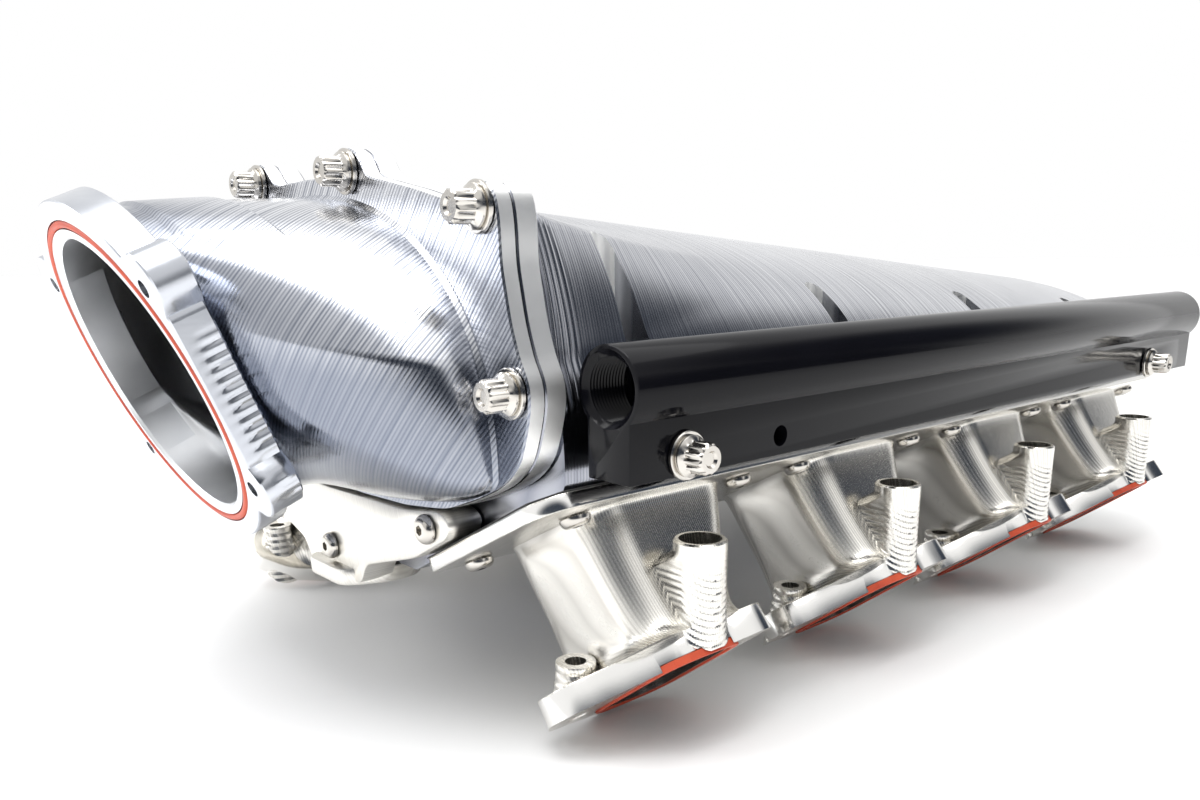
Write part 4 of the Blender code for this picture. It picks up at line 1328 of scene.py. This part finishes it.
    def build(self) -> None:
        """Model the right bank and mirror it for the left."""
        bank = self.seat()
        added = []
        for port_y in PORT_YS:
            added += [self.runner(port_y), self.lobe(port_y), self.boss(port_y), self.bolt_boss(port_y)]
        carve(bank, added, "UNION")
        carve(bank, self.cuts(), "DIFFERENCE")
        left = copy_to(bank, MIRROR)
        for side, piece in ((Side.RIGHT, bank), (Side.LEFT, left)):
            dress(piece, f"bank_body_{side.word}", self.finishes.bank,
                  [f"runner_bank_{side.word}"])
            self.brighten_edges(piece, side)

    def brighten_edges(self, piece: bpy.types.Object, side: Side) -> None:
        """Give the port flange edges and the seat flange edge their bright cut.

        Args:
            piece: The bank.
            side: Which bank it is.
        """
        piece.data.materials.append(self.finishes.mirror)
        for plane, low, high in ((head_place(0.0), 0.2 * MM, 9.8 * MM),
                                 (seat_place(self.top_x, 0.0), -6.2 * MM, -0.7 * MM)):
            normal = plane.col[2].xyz
            for face in piece.data.polygons:
                sign = 1.0 if side is Side.RIGHT else -1.0
                centre = Vector((face.center.x * sign, face.center.y, face.center.z))
                facing = Vector((face.normal.x * sign, face.normal.y, face.normal.z))
                above = (centre - plane.translation).dot(normal)
                if low < above < high and abs(facing.dot(normal)) < 0.2:
                    face.material_index = 1


# ---------------------------------------------------------------- fuel rails

@dataclass
class FuelRails:
    """Two extruded rails with threaded ports."""

    finishes: Finishes
    x: float = 144.0 * MM
    tube_z: float = 123.7 * MM
    radius: float = 12.7 * MM
    web: float = 9.0 * MM
    bottom_z: float = 97.0 * MM
    front_y: float = -163.9 * MM
    rear_y: float = 247.0 * MM
    bore: float = 7.9 * MM

    def outline(self) -> list[Point]:
        """Section in (x, z): tube on a web, with a fillet outside."""
        start = -math.acos(self.web / self.radius)
        turns = 60
        points = []
        for k in range(turns + 1):
            angle = start + (math.pi - 2.0 * start) * k / turns
            points.append((self.radius * math.cos(angle), self.tube_z + self.radius * math.sin(angle)))
        return points + [(-self.web, self.bottom_z), (self.web, self.bottom_z)]

    def bolt_ys(self) -> tuple[float, float]:
        """Stations of the two bolts."""
        return (PORT_YS[0] - 16.6 * MM, PORT_YS[-1] - 16.6 * MM)

    def thread(self, mouth_y: float, inward: float) -> bpy.types.Object:
        """Cutter for a threaded port: a turned bar with thread crests.

        Args:
            mouth_y: Where the port opens.
            inward: 1 when the port runs rearwards, -1 when it runs forwards.

        Returns:
            The cutter.
        """
        profile = [(12.0 * MM, -1.0 * MM), (11.3 * MM, 0.0), (10.2 * MM, 1.2 * MM)]
        for k in range(12):
            base = (1.6 + 1.2 * k) * MM
            profile += [(9.4 * MM, base), (10.2 * MM, base + 0.6 * MM)]
        profile.append((9.4 * MM, 16.4 * MM))
        rings = [[Vector((self.x + r * math.cos(a), mouth_y + inward * h, self.tube_z + r * math.sin(a)))
                  for a in even_angles(56)] for r, h in profile]
        return skin("thread", rings)

    def build(self) -> None:
        """Model both rails."""
        length = self.rear_y - self.front_y
        rail = slab("rail", self.outline(), forwards(self.x, self.rear_y, 0.0), length, 0.5 * MM)
        bore = forwards(self.x, self.rear_y + 1.0 * MM, self.tube_z)
        tools = [cylinder(self.bore, length + 2.0 * MM, bore),
                 self.thread(self.front_y, 1.0), self.thread(self.rear_y, -1.0)]
        for port_y in PORT_YS:
            tools.append(cylinder(7.0 * MM, 21.0 * MM, upright(self.x, port_y, self.bottom_z - 1.0 * MM)))
        for y in self.bolt_ys() + (PORT_YS[0] + 27.2 * MM,):
            across = sideways(self.x - 12.0 * MM, y, RAIL_BOLT_Z)
            tools.append(cylinder(SCREW_HOLE, 24.0 * MM, across, 32))
        carve(rail, tools, "DIFFERENCE")
        left = copy_to(rail, MIRROR)
        for side, piece in ((Side.RIGHT, rail), (Side.LEFT, left)):
            dress(piece, f"rail_{side.word}", self.finishes.black,
                  [f"fuel_rail_{side.word}"])


# ---------------------------------------------------------------- end plate

@dataclass
class EndPlate:
    """Plate and lobed foot that close the valley under the snout."""

    finishes: Finishes

    def build(self) -> None:
        """Model the plate and foot."""
        half = [(0.0, 75.0), (58.0, 76.6), (80.0, 80.0), (86.0, 76.5), (84.0, 71.0), (62.0, 59.6),
                (26.0, 49.0), (21.0, 40.0), (0.0, 40.0)]
        right = [(x * MM, z * MM) for x, z in half]
        outline = right + [(-x, z) for x, z in reversed(right[1:-1])]
        plate = slab("plate", rounded(outline, 4.0 * MM), forwards(0.0, PLATE_BACK_Y, 0.0),
                     PLATE_BACK_Y - JOINT_FRONT_Y, 0.8 * MM)
        foot = [(-22.0, -172.0), (-14.0, -187.0), (14.0, -187.0), (22.0, -172.0), (22.0, -158.0),
                (14.0, -150.0), (-14.0, -150.0), (-22.0, -158.0)]
        pad = slab("foot", rounded([(x * MM, y * MM) for x, y in foot], 5.0 * MM),
                   upright(0.0, 0.0, 38.5 * MM), 6.7 * MM, 1.0 * MM)
        carve(plate, [pad], "UNION")
        holes = [cylinder(SCREW_HOLE, 22.0 * MM, forwards(x * MM, JOINT_FRONT_Y + 20.0 * MM, z * MM), 32)
                 for x, z in PLATE_SCREWS]
        carve(plate, holes, "DIFFERENCE")
        dress(plate, "valley_end_plate", self.finishes.plate, ["end_plate"])


# ---------------------------------------------------------------- fasteners

@dataclass
class Fasteners:
    """Every bolt and screw, each made once and copied."""

    finishes: Finishes
    bank: RunnerBank
    rails: FuelRails

    def twelve_point(self, reach: float) -> bpy.types.Object:
        """Flanged twelve-point bolt with a washer; Z points out of its head.

        Args:
            reach: Length of the shank below the washer.

        Returns:
            The bolt.
        """
        star = []
        for k in range(96):
            a = TURN * k / 96
            point = abs(((a * 12.0 / TURN) % 1.0) - 0.5) * 2.0
            star.append((a, 1.0 - 0.13 * (1.0 - point) ** 1.2))
        shank = [(3.0, -reach / MM, 0.0), (3.0, 0.0, 0.0)]
        washer = [(7.1, 0.0, 0.0), (7.4, 0.3, 0.0), (7.4, 1.2, 0.0), (7.1, 1.5, 0.0)]
        flange = [(5.9, 1.5, 0.0), (6.3, 1.8, 0.0), (6.3, 2.7, 0.0), (6.0, 3.0, 0.0), (5.0, 3.7, 0.0)]
        head = [(4.9, 4.0, 1.0), (4.9, 9.3, 1.0), (4.5, 9.9, 0.7), (4.0, 10.2, 0.0), (2.6, 10.2, 0.0),
                (1.9, 9.4, 0.0)]
        rings = []
        for radius, height, share in shank + washer + flange + head:
            rings.append([Vector((radius * (1.0 - share + share * s) * math.cos(a),
                                  radius * (1.0 - share + share * s) * math.sin(a), height)) * MM
                          for a, s in star])
        return skin("bolt", rings)

    def button(self, reach: float) -> bpy.types.Object:
        """Button head screw with a hexagon socket; Z points out of its head.

        Args:
            reach: Length of the shank.

        Returns:
            The screw.
        """
        layers = [(3.0, -reach / MM), (3.0, 0.0), (4.9, 0.0), (5.25, 0.35), (5.2, 0.9)]
        for k in range(1, 9):
            turn = math.pi / 2.0 * k / 8.0
            layers.append((2.3 + 2.85 * math.cos(turn * 0.92), 0.9 + 2.4 * math.sin(turn)))
        rings = [[Vector((r * math.cos(a), r * math.sin(a), h)) * MM for a in even_angles(48)]
                 for r, h in layers]
        screw = skin("screw", rings)
        deselect()
        bpy.ops.mesh.primitive_cylinder_add(vertices=6, radius=1.9 * MM, depth=4.0 * MM,
                                            location=(0.0, 0.0, 3.4 * MM))
        socket = bpy.context.object
        settle(socket)
        return carve(screw, [socket], "DIFFERENCE")

    def put(self, pattern: bpy.types.Object, place: Matrix, name: str, nodes: Sequence[str],
            side: Side = Side.RIGHT, turn: float = 0.0) -> None:
        """Copy a fastener to its place.

        Args:
            pattern: The fastener to copy.
            place: Placing on the right side.
            name: The copy's name.
            nodes: CAD nodes it stands for.
            side: Which side it goes on.
            turn: How far it was tightened past the pattern, in radians.
        """
        full = place @ Matrix.Rotation(turn, 4, "Z")
        piece = copy_to(pattern, (MIRROR @ full) if side is Side.LEFT else full)
        dress(piece, name, self.finishes.steel, nodes)

    def build(self) -> None:
        """Place every fastener."""
        joint_bolt = self.twelve_point(11.5 * MM)
        rail_bolt = self.twelve_point(29.0 * MM)
        bank_screw = self.button(11.0 * MM)
        plate_screw = self.button(18.0 * MM)
        for side in Side:
            for number, (x, z) in enumerate(JOINT.bolts, 1):
                place = forwards(x * MM, JOINT_FRONT_Y - FASTENER_GAP, z * MM)
                self.put(joint_bolt, place, f"joint_fixing_{side.word}_{number}",
                         [f"joint_bolt_{side.word}_{number}"], side, 0.4 * number)
            for number, y in enumerate(self.rails.bolt_ys(), 1):
                place = sideways(self.rails.x + self.rails.web + FASTENER_GAP, y, RAIL_BOLT_Z)
                self.put(rail_bolt, place, f"rail_fixing_{side.word}_{number}",
                         [f"rail_bolt_{side.word}_{number}"], side, 0.7 * number)
            for number, (x, y) in enumerate(self.bank.screw_places(), 1):
                under = -self.bank.gasket - self.bank.thickness - FASTENER_GAP
                place = seat_place(x, y, under) @ Matrix.Rotation(math.pi, 4, "X")
                self.put(bank_screw, place, f"bank_fixing_{side.word}_{number}",
                         [f"bank_screw_{side.word}_{number}"], side, 0.5 * number)
        for number, (x, z) in enumerate(PLATE_SCREWS, 1):
            place = forwards(x * MM, JOINT_FRONT_Y - FASTENER_GAP, z * MM)
            self.put(plate_screw, place, f"plate_fixing_{number}", [f"end_plate_screw_{number}"])
        for pattern in (joint_bolt, rail_bolt, bank_screw, plate_screw):
            bpy.data.objects.remove(pattern, do_unlink=True)


# ---------------------------------------------------------------- studio

@dataclass
class Studio:
    """Pale floor, soft light and the camera."""

    finishes: Finishes
    lens: float = 29.491
    shift: tuple[float, float] = (0.00355, 0.10078)
    where: tuple[float, float, float] = (0.350, -0.346, 0.160)
    azimuth: float = math.radians(49.3345)
    pitch: float = math.radians(15.1126)
    roll: float = math.radians(0.934)

    def camera(self) -> None:
        """Set the camera up."""
        a, p, ro = self.azimuth, self.pitch, self.roll
        ahead = Vector((-math.sin(a), math.cos(a), 0.0))
        forward = ahead * math.cos(p) - Vector((0.0, 0.0, math.sin(p)))
        down = -ahead * math.sin(p) - Vector((0.0, 0.0, math.cos(p)))
        across = Vector((math.cos(a), math.sin(a), 0.0))
        right = across * math.cos(ro) + down * math.sin(ro)
        low = down * math.cos(ro) - across * math.sin(ro)
        data = bpy.data.cameras.new("camera")
        data.lens = self.lens
        data.shift_x, data.shift_y = self.shift
        data.clip_start = 0.01
        camera = bpy.data.objects.new("camera", data)
        camera.matrix_world = Matrix((
            (right.x, -low.x, -forward.x, self.where[0]), (right.y, -low.y, -forward.y, self.where[1]),
            (right.z, -low.z, -forward.z, self.where[2]), (0.0, 0.0, 0.0, 1.0)))
        bpy.context.collection.objects.link(camera)
        bpy.context.scene.camera = camera

    def light(self, name: str, place: Sequence[float], aim: Sequence[float], size: tuple[float, float],
              power: float, colour: Sequence[float]) -> None:
        """Add one soft box.

        Args:
            name: Its name.
            place: Where it stands.
            aim: What it points at.
            size: Its width and height.
            power: Its power in watts.
            colour: Its colour.
        """
        data = bpy.data.lights.new(name, "AREA")
        data.shape = "RECTANGLE"
        data.size, data.size_y = size
        data.energy = power
        data.color = colour
        lamp = bpy.data.objects.new(name, data)
        lamp.location = place
        direction = Vector(aim) - Vector(place)
        lamp.rotation_euler = direction.to_track_quat("-Z", "Y").to_euler()
        bpy.context.collection.objects.link(lamp)

    def build(self) -> None:
        """Set the stage."""
        deselect()
        bpy.ops.mesh.primitive_plane_add(size=30.0, location=(0.0, 0.0, 0.0))
        floor = bpy.context.object
        floor.name = "studio_floor"
        floor.data.materials.append(self.finishes.floor)
        self.camera()
        self.light("top_box", (0.1, -0.3, 1.3), (0.0, 0.0, 0.1), (0.8, 1.0), 14.0, (1.0, 1.0, 1.0))
        self.light("left_box", (-0.9, -1.2, 0.9), (0.0, -0.1, 0.1), (0.8, 0.8), 8.0, (0.97, 0.98, 1.0))
        sky = bpy.data.lights.new("even_light", "SUN")
        sky.energy = 1.1
        sky.angle = math.radians(70.0)
        lamp = bpy.data.objects.new("even_light", sky)
        bpy.context.collection.objects.link(lamp)
        self.surround()
        bpy.context.scene.view_settings.view_transform = "Standard"

    def surround(self) -> None:
        """Pale room with three dark openings that the metal mirrors; behind the part it shows white."""
        world = bpy.data.worlds.new("studio")
        world.use_nodes = True
        tree = world.node_tree
        links = tree.links
        coordinates = tree.nodes.new("ShaderNodeTexCoord")
        dark: Optional[bpy.types.NodeSocket] = None
        openings = (((0.40, 0.60, 0.40), 0.86, 0.99), ((0.78, -0.60, -0.02), 0.62, 0.90),
                    ((0.80, 0.55, 0.10), 0.86, 0.98))
        for direction, edge, full in openings:
            dot = tree.nodes.new("ShaderNodeVectorMath")
            dot.operation = "DOT_PRODUCT"
            dot.inputs[1].default_value = Vector(direction).normalized()
            links.new(coordinates.outputs["Generated"], dot.inputs[0])
            step = tree.nodes.new("ShaderNodeMapRange")
            step.interpolation_type = "SMOOTHSTEP"
            step.inputs["From Min"].default_value = edge
            step.inputs["From Max"].default_value = full
            links.new(dot.outputs["Value"], step.inputs["Value"])
            if dark is None:
                dark = step.outputs[0]
                continue
            most = tree.nodes.new("ShaderNodeMath")
            most.operation = "MAXIMUM"
            links.new(dark, most.inputs[0])
            links.new(step.outputs[0], most.inputs[1])
            dark = most.outputs[0]
        tone = tree.nodes.new("ShaderNodeMix")
        tone.data_type = "RGBA"
        tone.inputs[6].default_value = (1.0, 1.0, 1.0, 1.0)
        tone.inputs[7].default_value = (0.045, 0.055, 0.075, 1.0)
        links.new(dark, tone.inputs[0])
        white = tree.nodes.new("ShaderNodeMix")
        white.data_type = "RGBA"
        white.inputs[7].default_value = (1.0, 1.0, 1.0, 1.0)
        path = tree.nodes.new("ShaderNodeLightPath")
        links.new(path.outputs["Is Camera Ray"], white.inputs[0])
        links.new(tone.outputs[2], white.inputs[6])
        back = tree.nodes["Background"]
        links.new(white.outputs[2], back.inputs["Color"])
        back.inputs["Strength"].default_value = 1.0
        bpy.context.scene.world = world


# ---------------------------------------------------------------- whole manifold

def dress_carried_nodes(finishes: Finishes) -> None:
    """Finish the CAD nodes whose shape is right.

    Args:
        finishes: The manifold's finishes.
    """
    by_slot = {"machined_aluminium": finishes.plenum, "satin_aluminium": finishes.bank,
               "black_anodised": finishes.black, "plated_steel": finishes.steel,
               "red_silicone": finishes.silicone, "gasket_sheet": finishes.gasket}
    for part in frame["record"]["subparts"]:
        node = frame["nodes"][part["node"]]
        if not node.material_slots:
            node.data.materials.append(None)
        for slot in node.material_slots:
            slot.material = by_slot[part["material_slot"]]


def main() -> None:
    """Build and finish the manifold, piece by piece."""
    logging.basicConfig(level=logging.INFO, format="%(message)s")
    finishes = Finishes()
    bank = RunnerBank(finishes)
    rails = FuelRails(finishes)
    dress_carried_nodes(finishes)
    for part in (Studio(finishes), Snout(finishes), Plenum(finishes), bank, rails, EndPlate(finishes),
                 Fasteners(finishes, bank, rails)):
        log.info("building %s", type(part).__name__)
        part.build()


if __name__ == "__main__":
    main()
